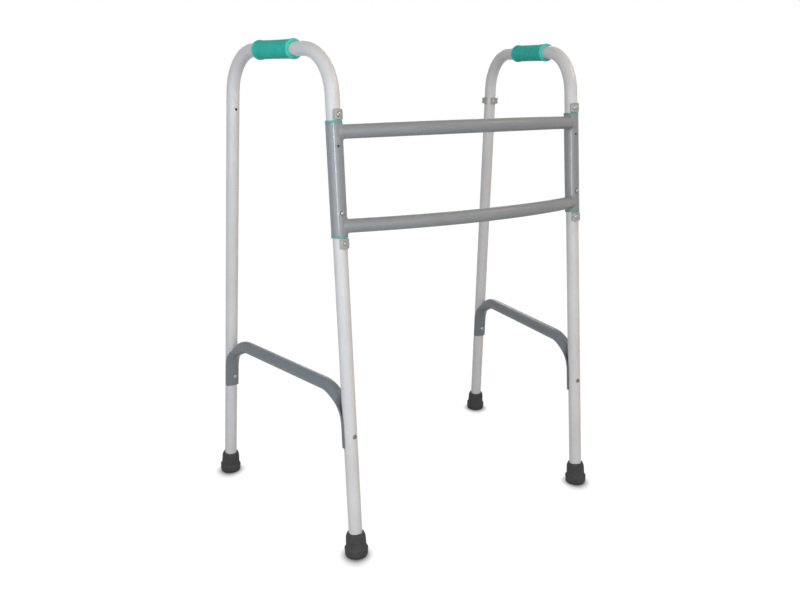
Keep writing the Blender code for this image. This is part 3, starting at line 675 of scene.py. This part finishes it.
def brace(side):
    name = f"{SIDE_NAMES[side]}_brace"
    heights = (BRACE_END_HEIGHT, BRACE_HEIGHT)
    corners = [at_height(0.0, FRONT_LEAN, BRACE_OFFSET, h) for h in heights]
    corners += [at_height(FOOT_SPREAD, -REAR_LEAN, BRACE_OFFSET, h) for h in heights[::-1]]
    pieces = route(corners, BRACE_BEND_RADIUS)
    total = route_length(pieces)
    half = BRACE_END_RINGS + [BRACE_FLAT * i / BRACE_FLAT_STEPS for i in range(1, BRACE_FLAT_STEPS + 1)]
    half += [BRACE_FLAT + BRACE_MORPH * i / BRACE_MORPH_STEPS for i in range(1, BRACE_MORPH_STEPS + 1)]
    extra = half + [total - d for d in half] + [total * i / BRACE_STEPS for i in range(1, BRACE_STEPS)]
    outside = []
    inside = []
    for distance in station_distances(pieces, BRACE_BEND_STEPS, extra):
        point, direction = along_route(pieces, distance)
        end = min(distance, total - distance)
        into = 1 if distance < total / 2 else -1
        outside.append(brace_section(point, direction, end, 0.0, into))
        inside.append(brace_section(point, direction, end, BRACE_WALL, into))
    piece = skinned(name + "_detail", outside + inside[::-1], leg_frame(side), SHADED_BRACE_COAT)
    stands_for(piece, name)


def rivet(side, place):
    name = f"{SIDE_NAMES[side]}_{place}_rivet"
    outer = TUBE_RADIUS + SEAT_GAP
    inner = -(SEAT_RADIUS + 2 * BRACE_WALL + BRACE_SLIT + SEAT_GAP)
    dome = [(RIVET_HEAD_RADIUS * s, RIVET_HEAD * sqrt(1 - s * s)) for s in RIVET_DOME]
    profile = [(POLE_RADIUS, inner - RIVET_HEAD)] + [(r, inner - rise) for r, rise in dome]
    profile += [(RIVET_HEAD_RADIUS, inner), (RIVET_RADIUS, inner)]
    profile += [(RIVET_RADIUS, outer), (RIVET_HEAD_RADIUS, outer)]
    profile += [(r, outer + rise) for r, rise in dome[::-1]] + [(POLE_RADIUS, outer + RIVET_HEAD)]
    # Painted shade: the front rivets take the darker, browner steel
    finish = SHADED_FRONT_RIVET if place == "front" else REAR_RIVET
    spot = leg_frame(side, place) @ outwards(0.0, RIVET_HEIGHT)
    piece = turned(name + "_detail", profile, spot, finish, sides=SMALL_SIDES)
    stands_for(piece, name)


def ferrule_shape(radius, height, angle):
    """Four pairs of upright ribs on the collar, which run down over the step into the bell."""
    if radius < FERRULE_TOP_RADIUS - FERRULE_ROUND or height < RIB_LOW:
        return radius
    low = clamp((height - RIB_LOW) / RIB_FOOT)
    high = clamp((RIB_HIGH - height) / RIB_TIP)
    rib = max(cos(2 * (angle - spot)) for spot in FERRULE_RIBS)
    raised = clamp((rib - RIB_EDGE) / RIB_SOFT)
    groove = clamp(1.0 - abs(rib - GROOVE_EDGE) / RIB_SOFT)
    return radius + low * high * (RIB_HEIGHT * raised - RIB_GROOVE * groove)


def ferrule(side, place):
    """A bell with a banded collar, its sole cut level with the floor."""
    name = f"{SIDE_NAMES[side]}_{place}_ferrule"
    bottom, shoulder, height = -FERRULE_OVERLAP, FERRULE_SHOULDER, FERRULE_HEIGHT
    bell, collar, mouth = FERRULE_BELL_RADIUS, FERRULE_COLLAR_RADIUS, FERRULE_TOP_RADIUS
    profile = [
        (bell - 0.0035, bottom),
        (bell - 0.0012, bottom + 0.0035),
        (bell, bottom + 0.0062),
        (bell, shoulder - 0.0105),
        (bell - 0.0004, shoulder - 0.0100),
        (bell - 0.0004, shoulder - 0.0094),
        (bell, shoulder - 0.0089),
        (bell - 0.0001, shoulder - 0.0022),
        (bell - 0.0011, shoulder),
        (collar + 0.0001, shoulder + 0.0018),
    ]
    base = shoulder + 0.0026
    top = height - 0.0075
    band = (top - base) / FERRULE_BANDS
    for i in range(FERRULE_BANDS):
        low = base + band * i
        high = low + band
        wide = collar - 0.0006 * i / FERRULE_BANDS
        profile += [(wide, low), (wide, high - 0.0013), (wide - 0.0005, high - 0.0008)]
    profile += [
        (collar - 0.0006, top),
        (collar - 0.0009, height - 0.0045),
        (mouth, height - 0.0009),
        (mouth - 0.0007, height),
        (SEAT_RADIUS + 0.0006, height),
        (SEAT_RADIUS, height - 0.0006),
        (SEAT_RADIUS, FERRULE_SOLE),
        (0.003, FERRULE_SOLE),
    ]
    piece = turned(name + "_detail", rounded(profile, FERRULE_ROUND, 3), leg_frame(side, place), BLACK_RUBBER,
                   shape=ferrule_shape, sides=FERRULE_SIDES, sharp=FERRULE_SHARP)
    bm = bmesh.new()
    bm.from_mesh(piece.data)
    parts = bm.verts[:] + bm.edges[:] + bm.faces[:]
    cutting = bmesh.ops.bisect_plane(bm, geom=parts, plane_co=(0, 0, 0), plane_no=-UP, clear_outer=True)
    rim = [part for part in cutting["geom_cut"] if isinstance(part, bmesh.types.BMEdge)]
    bmesh.ops.contextual_create(bm, geom=rim)
    bm.to_mesh(piece.data)
    bm.free()
    smooth(piece.data, FERRULE_SHARP)
    stands_for(piece, name)


def grip(side):
    """A waved and finely ribbed rubber tube with a flared rim at each end."""
    name = f"{SIDE_NAMES[side]}_grip"
    half = GRIP_LENGTH / 2
    end = [
        (SEAT_RADIUS, -half + 0.0004),
        (SEAT_RADIUS + 0.0005, -half),
        (GRIP_RIM_RADIUS - 0.0012, -half),
        (GRIP_RIM_RADIUS, -half + 0.0012),
        (GRIP_RIM_RADIUS, -half + 0.0052),
        (GRIP_RADIUS, -half + 0.0105),
    ]
    rim = rounded(end, GRIP_ROUND, 4)
    profile = list(rim)
    reach = GRIP_LENGTH - 2 * GRIP_BAND
    steps = GRIP_RIBS * len(GRIP_RIB_FORM)
    for i in range(steps + 1):
        along = i / steps
        wave = GRIP_WAVE * cos(2 * pi * GRIP_WAVES * along)
        waist = GRIP_WAIST * sin(pi * along)
        rib = GRIP_RIB_FORM[i % len(GRIP_RIB_FORM)]
        profile.append((GRIP_RADIUS - wave - waist + rib, -half + GRIP_BAND + reach * along))
    profile += [(r, -z) for r, z in rim[::-1]]
    if side == LEFT:
        middle = FRONT_BEND_REACH + HANDLE_RUN - LEFT_GRIP_TO_REAR_BEND - half
    else:
        middle = FRONT_BEND_REACH + RIGHT_GRIP_TO_FRONT_BEND + half
    corner = at_height(0.0, FRONT_LEAN, 0.0, HANDLE_HEIGHT)
    level = Matrix.Rotation(FRONT_LEAN - QUARTER_TURN, 4, "X")
    place = leg_frame(side) @ Matrix.Translation(corner) @ level @ lifted(middle)
    piece = turned(name + "_detail", profile, place, TEAL_GRIP, closed=True, sharp=GRIP_SHARP)
    spot = place.inverted()
    ends = [abs((spot @ vertex.co).z) for vertex in piece.data.vertices]
    # Painted glow: the base colour gets paler towards each rim, standing in for light shining through the thin
    # rubber
    mark(piece, "painted_glow_edge", [clamp((z - half + GLOW_PAINT_REACH) / GLOW_PAINT_FADE) for z in ends])
    stands_for(piece, name)


# ---------------- moulded stops, clip, screws, buttons
def square_edge(angle, half_width, half_height, corner):
    """Distance from the middle to the edge of a rounded rectangle in a direction."""
    across, up = abs(cos(angle)), abs(sin(angle))
    low, high = 0.0, 2.0 * (half_width + half_height)
    for _ in range(BISECTIONS):
        r = (low + high) / 2
        x = max(across * r - (half_width - corner), 0.0)
        y = max(up * r - (half_height - corner), 0.0)
        outside = max(hypot(x, y) - corner, across * r - half_width, up * r - half_height) > 0
        low, high = (low, r) if outside else (r, high)
    return low


def stop(side, place, bottom):
    """A rounded square moulding that hugs the leg, with a raised border and a sunk screw seat."""
    name = f"{SIDE_NAMES[side]}_{place}_stop"
    half_width = STOP_HALF_ANGLE * (SEAT_RADIUS + STOP_THICKNESS)
    half_height = STOP_HEIGHT / 2
    face = STOP_THICKNESS
    seat = face - SCREW_SINK - SEAT_GAP
    border = ((0.0, 0.0), (0.0, face - 0.0009), (0.00025, face - 0.0003), (0.0008, face),
              (0.0017, face), (0.0021, face - 0.0003), (0.0026, face - 0.00045))
    well = ((0.0053, face - 0.00045), (0.0050, face - 0.0001), (0.0043, face - 0.0001),
            (SCREW_WELL, face - 0.0004), (SCREW_WELL, seat), (SCREW_BORE, seat), (SCREW_BORE, 0.0))
    rings = []
    angles = circle_angles(STOP_SIDES)

    def lay(reaches, depth):
        """A ring that is wrapped round the leg, from its reaches from the middle."""
        ring = []
        r = SEAT_RADIUS + depth
        for a, reach in zip(angles, reaches):
            swing = reach * cos(a) / (SEAT_RADIUS + face)
            height = bottom + half_height + reach * sin(a)
            ring.append(Vector((r * sin(swing), -r * cos(swing), height)))
        rings.append(ring)

    for inset, depth in border:
        corner = STOP_CORNER - 0.3 * inset
        lay([square_edge(a, half_width - inset, half_height - inset, corner) for a in angles], depth)
    for radius, depth in well:
        lay([radius] * STOP_SIDES, depth)
    piece = skinned(name + "_detail", rings, leg_frame(side), CLEAR_GREY)
    stands_for(piece, name)


def screw_mesh():
    """A pan-head screw with a cross recess; its seat is at the origin and it points up Z."""
    reach = STOP_THICKNESS - SCREW_SINK + SEAT_GAP + TUBE_WALL
    head, tall = SCREW_HEAD_RADIUS, SCREW_HEAD_HEIGHT
    profile = [(POLE_RADIUS, -reach - 0.004), (SCREW_RADIUS * 0.6, -reach - 0.0028)]
    pitch = (reach + 0.002) / SCREW_TURNS
    for i in range(SCREW_TURNS):
        at = -reach - 0.0025 + pitch * i
        profile += [(SCREW_RADIUS * 0.86, at), (SCREW_RADIUS, at + pitch * 0.5)]
    profile += [(SCREW_RADIUS * 0.9, 0.0), (head * 0.98, 0.0), (head, 0.0003)]
    profile += [(head * r, tall * z) for r, z in ((1.0, 0.45), (0.93, 0.75), (0.75, 0.95), (0.4, 1.0))]
    profile.append((POLE_RADIUS, tall))
    item = turned("screw_form", profile, Matrix(), None, sides=SMALL_SIDES)
    cutters = []
    for turn in (0.0, QUARTER_TURN):
        bm = bmesh.new()
        bmesh.ops.create_cube(bm, size=1.0)
        bmesh.ops.scale(bm, vec=RECESS_SIZE, verts=bm.verts)
        for vertex in bm.verts:
            if vertex.co.z < 0:
                vertex.co.x *= RECESS_TAPER
        place = lifted(tall) @ Matrix.Rotation(turn, 4, "Z")
        cutters.append(make_object("recess", bm, place, None))
    carve(item, cutters)
    mesh = item.data
    bpy.data.objects.remove(item)
    return mesh


def screw(name, place, mesh):
    bm = bmesh.new()
    bm.from_mesh(mesh)
    stands_for(make_object(name + "_detail", bm, place, STEEL), name)


def lock_button(side):
    name = f"{SIDE_NAMES[side]}_lock_button"
    bore = TUBE_RADIUS - TUBE_WALL
    flange = BUTTON_FLANGE_RADIUS
    seat = sqrt(bore ** 2 - flange ** 2) - 2 * SEAT_GAP
    tip = SLEEVE_RADIUS + BUTTON_PROUD
    shoulder = tip - BUTTON_RADIUS * BUTTON_DOME
    profile = [(flange, seat - BUTTON_FLANGE), (flange, seat)]
    profile += [(BUTTON_RADIUS, seat), (BUTTON_RADIUS, shoulder - 0.0001)]
    for i in range(DOME_STEPS + 1):
        a = 1.5 * i / DOME_STEPS
        profile.append((BUTTON_RADIUS * cos(a), shoulder + (tip - shoulder) * sin(a)))
    place = sleeve_frame(side) @ outwards(0.0, BUTTON_HEIGHT)
    piece = turned(name + "_detail", profile, place, DARKENED_BUTTON_STEEL, sides=SMALL_SIDES)
    stands_for(piece, name)


def storage_clip():
    """A sprung C round the leg, with rounded edges and ends and a sunk screw seat."""
    mouth = pi - CLIP_MOUTH_TURN
    start = mouth + CLIP_MOUTH_HALF_ANGLE
    end = mouth + 2 * pi - CLIP_MOUTH_HALF_ANGLE
    middle = SEAT_RADIUS + CLIP_THICKNESS / 2
    lip = CLIP_ROUND / middle
    nose = [lip * (1 - cos(QUARTER_TURN * i / CLIP_END_STEPS)) for i in range(CLIP_END_STEPS + 1)]
    sweep = [start + n for n in nose]
    sweep += [start + lip + (end - start - 2 * lip) * i / CLIP_STEPS for i in range(1, CLIP_STEPS)]
    sweep += [end - n for n in nose[::-1]]
    rings = []
    count = len(sweep)
    for number, turn in enumerate(sweep):
        near_end = min(number, count - 1 - number)
        shrink = CLIP_ROUND * (1 - sin(QUARTER_TURN * min(near_end, CLIP_END_STEPS) / CLIP_END_STEPS))
        half_thick = CLIP_THICKNESS / 2 - shrink
        half_tall = CLIP_LENGTH / 2 - shrink
        ring = []
        for a in circle_angles(SMALL_SIDES):
            edge = square_edge(a, half_thick, half_tall, CLIP_ROUND)
            r = middle + edge * cos(a)
            z = CLIP_HEIGHT + edge * sin(a)
            ring.append(Vector((r * sin(turn), -r * cos(turn), z)))
        rings.append(ring)
    leg = leg_frame(RIGHT, "rear")
    piece = skinned("storage_clip_detail", rings, leg, CLEAR_GREY, closed=False)
    place = leg @ outwards(pi, CLIP_HEIGHT)
    face = SEAT_RADIUS + CLIP_THICKNESS
    seat = face - SCREW_SINK - SEAT_GAP
    profile = [(SCREW_BORE, TUBE_RADIUS), (SCREW_BORE, seat), (SCREW_WELL, seat), (SCREW_WELL, face + 0.003)]
    carve(piece, [turned("sink", profile, place, None, sides=SMALL_SIDES)])
    stands_for(piece, "storage_clip")


# ---------------- front panel
def sleeve(side):
    """The tube round the front leg, with its two countersunk holes."""
    name = f"{SIDE_NAMES[side]}_sleeve"
    bottom = SLEEVE_BOTTOM + BUSH_FLANGE + SEAT_GAP
    top = SLEEVE_TOP - BUSH_FLANGE - SEAT_GAP
    length = top - bottom - 2 * SLEEVE_ROUND
    heights = [bottom + SLEEVE_ROUND + length * i / SLEEVE_STEPS for i in range(SLEEVE_STEPS + 1)]
    for hole, reach in ((BUTTON_HEIGHT, HOLE_MARGIN), (SPARE_HOLE_HEIGHT, SPARE_HOLE_MARGIN)):
        heights += [hole - reach, hole + reach]
    heights = sorted(heights)
    outside = [(SLEEVE_RADIUS - SLEEVE_ROUND, bottom)] + [(SLEEVE_RADIUS, z) for z in heights]
    outside += [(SLEEVE_RADIUS - SLEEVE_ROUND, top)]
    inside = [(SLEEVE_BORE, z) for z in [bottom] + heights + [top]]
    place = sleeve_frame(side)
    piece = turned(name + "_detail", outside + inside[::-1], place, GREY_COAT, closed=True)
    cutters = []
    for radius, height in ((BUTTON_HOLE_RADIUS, BUTTON_HEIGHT), (SPARE_HOLE_RADIUS, SPARE_HOLE_HEIGHT)):
        wide = radius + COUNTERSINK
        profile = [(radius, SLEEVE_BORE - 0.003), (radius, SLEEVE_RADIUS - 0.0004),
                   (wide, SLEEVE_RADIUS + 0.0008), (wide, SLEEVE_RADIUS + 0.002)]
        cutters.append(turned("drill", profile, place @ outwards(0.0, height), None, sides=SMALL_SIDES))
    carve(piece, cutters)
    stands_for(piece, name)


def bush(side, place, end, inwards):
    """A flanged bush; inwards is 1 or -1, the way from its flange into the sleeve."""
    name = f"{SIDE_NAMES[side]}_{place}_bush"
    lip = SLEEVE_RADIUS + BUSH_LIP
    outline = [
        (BUSH_BORE, 0.0003),
        (BUSH_BORE + 0.0003, 0.0),
        (lip - BUSH_ROUND, 0.0),
        (lip, BUSH_ROUND),
        (lip, BUSH_FLANGE - 0.0002),
        (lip - 0.0002, BUSH_FLANGE),
        (BUSH_RADIUS, BUSH_FLANGE),
        (BUSH_RADIUS, BUSH_SKIRT),
        (BUSH_BORE, BUSH_SKIRT),
    ]
    profile = [(r, end + inwards * depth) for r, depth in outline]
    piece = turned(name + "_detail", profile, sleeve_frame(side), TEAL_BUSH, closed=True)
    stands_for(piece, name)


def bar_route(height):
    """Radius and half angle of a bar's bow, from one sleeve's axis to the other's."""
    half_span = FRONT_FOOT_OFFSET - height * tan(PANEL_TOE)
    radius = (half_span ** 2 + BAR_BOW ** 2) / (2 * BAR_BOW)
    return radius, asin(half_span / radius)


def bar_station(height, angle):
    """Point and direction of a bar's axis, in the panel's frame."""
    radius, _ = bar_route(height)
    depth = radius * (1 - cos(angle)) - BAR_BOW
    return Vector((radius * sin(angle), depth, height)), Vector((cos(angle), sin(angle), 0.0))


def bar_point(height, angle, around, size):
    """A point round a bar's axis."""
    point, direction = bar_station(height, angle)
    return point + (UP * cos(around) + UP.cross(direction) * sin(around)) * size


def sleeve_axis(side):
    """A sleeve's foot and direction, in the panel's frame."""
    return ACROSS * side * FRONT_FOOT_OFFSET, Matrix.Rotation(-side * PANEL_TOE, 3, "Y") @ UP


def distance_to_sleeve(point, side):
    """Distance of a point of the panel's frame from a sleeve's axis."""
    foot, axis = sleeve_axis(side)
    offset = point - foot
    return (offset - axis * offset.dot(axis)).length


def end_angle(height, around, size, side, clear):
    """Angle along the bow where a line of the bar's wall comes that near to a sleeve's axis."""
    low, high = 0.0, bar_route(height)[1]
    for _ in range(BISECTIONS):
        middle = (low + high) / 2
        gap = distance_to_sleeve(bar_point(height, side * middle, around, size), side)
        low, high = (middle, high) if gap > clear else (low, middle)
    return side * low


def crossbar(place, height):
    """A bowed tube whose ends are cut to the sleeves' round."""
    name = f"{place}_crossbar"
    walls = []
    for size in (BAR_RADIUS, BAR_RADIUS - BAR_WALL):
        lines = []
        for around in circle_angles(TUBE_SIDES):
            start, end = [end_angle(height, around, size, side, SLEEVE_RADIUS + SEAT_GAP)
                          for side in (LEFT, RIGHT)]
            angles = [start + (end - start) * i / BAR_STEPS for i in range(BAR_STEPS + 1)]
            lines.append([bar_point(height, a, around, size) for a in angles])
        walls.append([[line[i] for line in lines] for i in range(BAR_STEPS + 1)])
    piece = skinned(name + "_detail", walls[0] + walls[1][::-1], panel_frame(), BAR_COAT)
    stands_for(piece, name)


def weld(side, place, height):
    """A smooth fillet of weld between a bar's end and the sleeve."""
    radius, _ = bar_route(height)
    foot, axis = sleeve_axis(side)
    rings = []
    for around in circle_angles(WELD_SIDES):
        ripple = 1.0 + 0.05 * sin(7 * around + side) + 0.03 * sin(17 * around)
        at = end_angle(height, around, BAR_RADIUS, side, SLEEVE_RADIUS)
        corner = bar_point(height, at, around, BAR_RADIUS)
        reach = WELD_WIDTH * ripple / radius
        on_bar = bar_point(height, at - side * reach, around, BAR_RADIUS + WELD_LIFT)
        sunk = bar_point(height, at, around, BAR_RADIUS - WELD_SINK)
        offset = corner - foot
        spoke = (offset - axis * offset.dot(axis)).normalized()
        centre, _ = bar_station(height, at)
        away = corner - centre
        away -= spoke * away.dot(spoke)
        shift = corner + away.normalized() * WELD_WIDTH * ripple - foot
        along = axis * shift.dot(axis)
        spoke = (shift - along).normalized()
        on_sleeve = foot + along + spoke * (SLEEVE_RADIUS + WELD_LIFT)
        inner = foot + along + spoke * (SLEEVE_RADIUS - WELD_SINK)
        rings.append(curve(on_bar, corner, on_sleeve, WELD_STEPS) + [inner, sunk])
    piece = skinned(f"{SIDE_NAMES[side]}_{place}_weld", rings, panel_frame(), GREY_COAT)
    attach(piece, "front_panel")


def build_walker():
    """Every visible piece; the hidden springs and washers keep their CAD meshes in steel."""
    screw_form = screw_mesh()
    seat = SEAT_RADIUS + STOP_THICKNESS - SCREW_SINK
    for side in (LEFT, RIGHT):
        side_tube(side)
        brace(side)
        grip(side)
        for place in ("front", "rear"):
            rivet(side, place)
            ferrule(side, place)
        stops = {"upper": SLEEVE_TOP + SEAT_GAP, "lower": SLEEVE_BOTTOM - SEAT_GAP - STOP_HEIGHT}
        for place, bottom in stops.items():
            stop(side, place, bottom)
            # Each screw's recess stands at an angle of its own
            turn = Matrix.Rotation(0.5 + 0.7 * side + 0.4 * bottom, 4, "Z")
            spot = leg_frame(side) @ outwards(0.0, bottom + STOP_HEIGHT / 2) @ lifted(seat) @ turn
            screw(f"{SIDE_NAMES[side]}_{place}_stop_screw", spot, screw_form)
        lock_button(side)
        sleeve(side)
        bush(side, "upper", SLEEVE_TOP, -1)
        bush(side, "lower", SLEEVE_BOTTOM, 1)
        weld(side, "upper", UPPER_BAR_HEIGHT)
        weld(side, "lower", LOWER_BAR_HEIGHT)
    crossbar("upper", UPPER_BAR_HEIGHT)
    crossbar("lower", LOWER_BAR_HEIGHT)
    storage_clip()
    clip_seat = SEAT_RADIUS + CLIP_THICKNESS - SCREW_SINK
    spot = leg_frame(RIGHT, "rear") @ outwards(pi, CLIP_HEIGHT) @ lifted(clip_seat)
    screw("clip_screw", spot, screw_form)
    for node, item in frame["nodes"].items():
        if node.endswith("_spring") or node.endswith("_washer"):
            item.data.materials.clear()
            item.data.materials.append(STEEL)


# ---------------- floor, light and camera
WORLD_LIGHT = 0.59
WORLD_OVERHEAD = 0.12
WORLD_TINT = (1.0, 0.965, 0.93)
FLOOR_BOUNCE = 0.3
FLOOR_SHADED = 0.12
FLOOR_LIFT = 0.97
FLOOR_HALF_WIDTH = 14.0
FLOOR_DROP = 0.0002
OPENNESS_SAMPLES = 16
# The contact shadow: how open the floor is to both sides of the way the camera looks, and all round
SHADOW_SLANTS = ((-0.31, 0.95, 0.45), (0.99, 0.14, 0.45))
FRONT_REACH = 0.026
FRONT_DEPTH = 2.1
ROUND_REACH = 0.014
ROUND_DEPTH = 1.2

# Lamps: place, aim, size, power, colour, and the pieces that a highlight lamp is kept to
NEUTRAL = (1.0, 1.0, 1.0)
CREAM = (1.0, 0.975, 0.95)
WARM = (1.0, 0.78, 0.6)
COOL = (0.72, 0.86, 1.0)
SLEEVE_PIECES = ("left_sleeve_detail", "right_sleeve_detail")
LAMPS = {
    "window": ((-1.165, -1.496, 0.88), (-0.27, -0.17, 0.66), (0.36, 0.66), 17.0, NEUTRAL, SLEEVE_PIECES),
    "key": ((-0.75, -1.95, 1.0), (0.0, 0.0, 0.5), (1.5, 1.5), 21.5, CREAM, ()),
    "left": ((-1.45, -0.7, 0.7), (-0.3, -0.1, 0.5), (0.8, 0.8), 7.2, COOL, ()),
    "right": ((1.35, -0.95, 1.95), (0.2, 0.0, 0.6), (0.7, 0.7), 11.0, WARM, ()),
    "back": ((1.9, 3.0, 1.6), (0.0, 0.0, 0.5), (1.4, 1.4), 18.0, NEUTRAL, ()),
}

# The photograph's camera, as solved from the object's edges
CAMERA_PLACE = (-0.9276, FOOT[LEFT].y - 1.1992, 0.8466)
CAMERA_TURN = (radians(75.054), 0.0, radians(-32.08))
CAMERA_LENS = 37.98
CAMERA_SENSOR = 36.0


def light_panel(name, place, aim, size, power, colour, shines_on):
    """An area lamp. One that names pieces in shines_on only adds a highlight to them."""
    lamp = bpy.data.lights.new(name, "AREA")
    lamp.shape = "RECTANGLE"
    lamp.size, lamp.size_y = size
    lamp.energy = power
    lamp.color = colour
    item = add_object(name, lamp)
    item.location = place
    item.rotation_euler = (Vector(aim) - Vector(place)).to_track_quat("-Z", "Y").to_euler()
    if shines_on:
        item.visible_diffuse = False
        receivers = bpy.data.collections.new(name + "_receivers")
        for piece in shines_on:
            receivers.objects.link(bpy.data.objects[piece])
        item.light_linking.receiver_collection = receivers


def maths(tree, operation, *values):
    """One maths node; each value is a number or another node's output."""
    node = add_node(tree, "ShaderNodeMath", *values)
    node.operation = operation
    return node.outputs["Value"]


def seen_ray(tree):
    """1 for the rays that see the white surroundings, 0 for those that only light the object."""
    rays = tree.nodes.new("ShaderNodeLightPath").outputs
    total = rays["Is Camera Ray"]
    for kind in ("Is Glossy Ray", "Is Transmission Ray"):
        total = maths(tree, "MAXIMUM", total, rays[kind])
    return total


def seen_or_lit(tree, lit, seen, output):
    """One shader for the rays that light the object, another for those that show the surroundings."""
    mix = add_node(tree, "ShaderNodeMixShader", seen_ray(tree), lit, seen)
    feed(output.inputs["Surface"], mix.outputs["Shader"])


def openness(tree, slant, reach):
    """How open the floor is towards a direction, from 0 to 1, up to a distance."""
    towards = add_node(tree, "ShaderNodeCombineXYZ", *Vector(slant).normalized())
    near = add_node(tree, "ShaderNodeAmbientOcclusion", Distance=reach, Normal=towards.outputs["Vector"])
    near.samples = OPENNESS_SAMPLES
    return near.outputs["AO"]


def diffuse(tree, grey):
    return add_node(tree, "ShaderNodeBsdfDiffuse", Color=(grey, grey, grey, 1.0)).outputs["BSDF"]


def floor_finish():
    """A white floor that keeps soft shadows round the feet and throws little light back up."""
    finish = bpy.data.materials.new("white_floor")
    finish.use_nodes = True
    tree = finish.node_tree
    tree.nodes.remove(tree.nodes["Principled BSDF"])
    sides = [openness(tree, slant, FRONT_REACH) for slant in SHADOW_SLANTS]
    ahead = maths(tree, "POWER", maths(tree, "MAXIMUM", *sides), FRONT_DEPTH)
    around = maths(tree, "POWER", openness(tree, UP, ROUND_REACH), ROUND_DEPTH)
    brightness = maths(tree, "MULTIPLY", maths(tree, "MULTIPLY", ahead, around), FLOOR_LIFT)
    glow = add_node(tree, "ShaderNodeEmission", Strength=brightness)
    shown = add_node(tree, "ShaderNodeAddShader", diffuse(tree, FLOOR_SHADED), glow.outputs["Emission"])
    seen_or_lit(tree, diffuse(tree, FLOOR_BOUNCE), shown.outputs["Shader"], tree.nodes["Material Output"])
    return finish


def studio():
    """White surroundings for the camera, a dimmer sky for the light, the floor and the lamps."""
    scene = bpy.context.scene
    scene.view_settings.view_transform = "Standard"
    world = bpy.data.worlds.new("studio")
    scene.world = world
    world.use_nodes = True
    tree = world.node_tree
    sky = tree.nodes.new("ShaderNodeTexCoord")
    part = add_node(tree, "ShaderNodeSeparateXYZ", Vector=sky.outputs["Generated"])
    limits = {"To_Min": WORLD_LIGHT, "To_Max": WORLD_OVERHEAD}
    fall = add_node(tree, "ShaderNodeMapRange", Value=part.outputs["Z"], **limits)
    lit = tree.nodes["Background"]
    feed(lit.inputs["Color"], (*WORLD_TINT, 1.0))
    feed(lit.inputs["Strength"], fall.outputs["Result"])
    seen = add_node(tree, "ShaderNodeBackground", Color=(1.0, 1.0, 1.0, 1.0))
    seen_or_lit(tree, lit.outputs["Background"], seen.outputs["Background"], tree.nodes["World Output"])

    bm = bmesh.new()
    bmesh.ops.create_grid(bm, x_segments=1, y_segments=1, size=FLOOR_HALF_WIDTH)
    floor = make_object("floor", bm, lifted(-FLOOR_DROP), floor_finish())
    for name, settings in LAMPS.items():
        light_panel(name, *settings)


def add_camera():
    lens = bpy.data.cameras.new("photo_camera")
    lens.lens = CAMERA_LENS
    lens.sensor_width = CAMERA_SENSOR
    camera = add_object("photo_camera", lens)
    camera.location = CAMERA_PLACE
    camera.rotation_euler = CAMERA_TURN
    bpy.context.scene.camera = camera


build_walker()
studio()
add_camera()
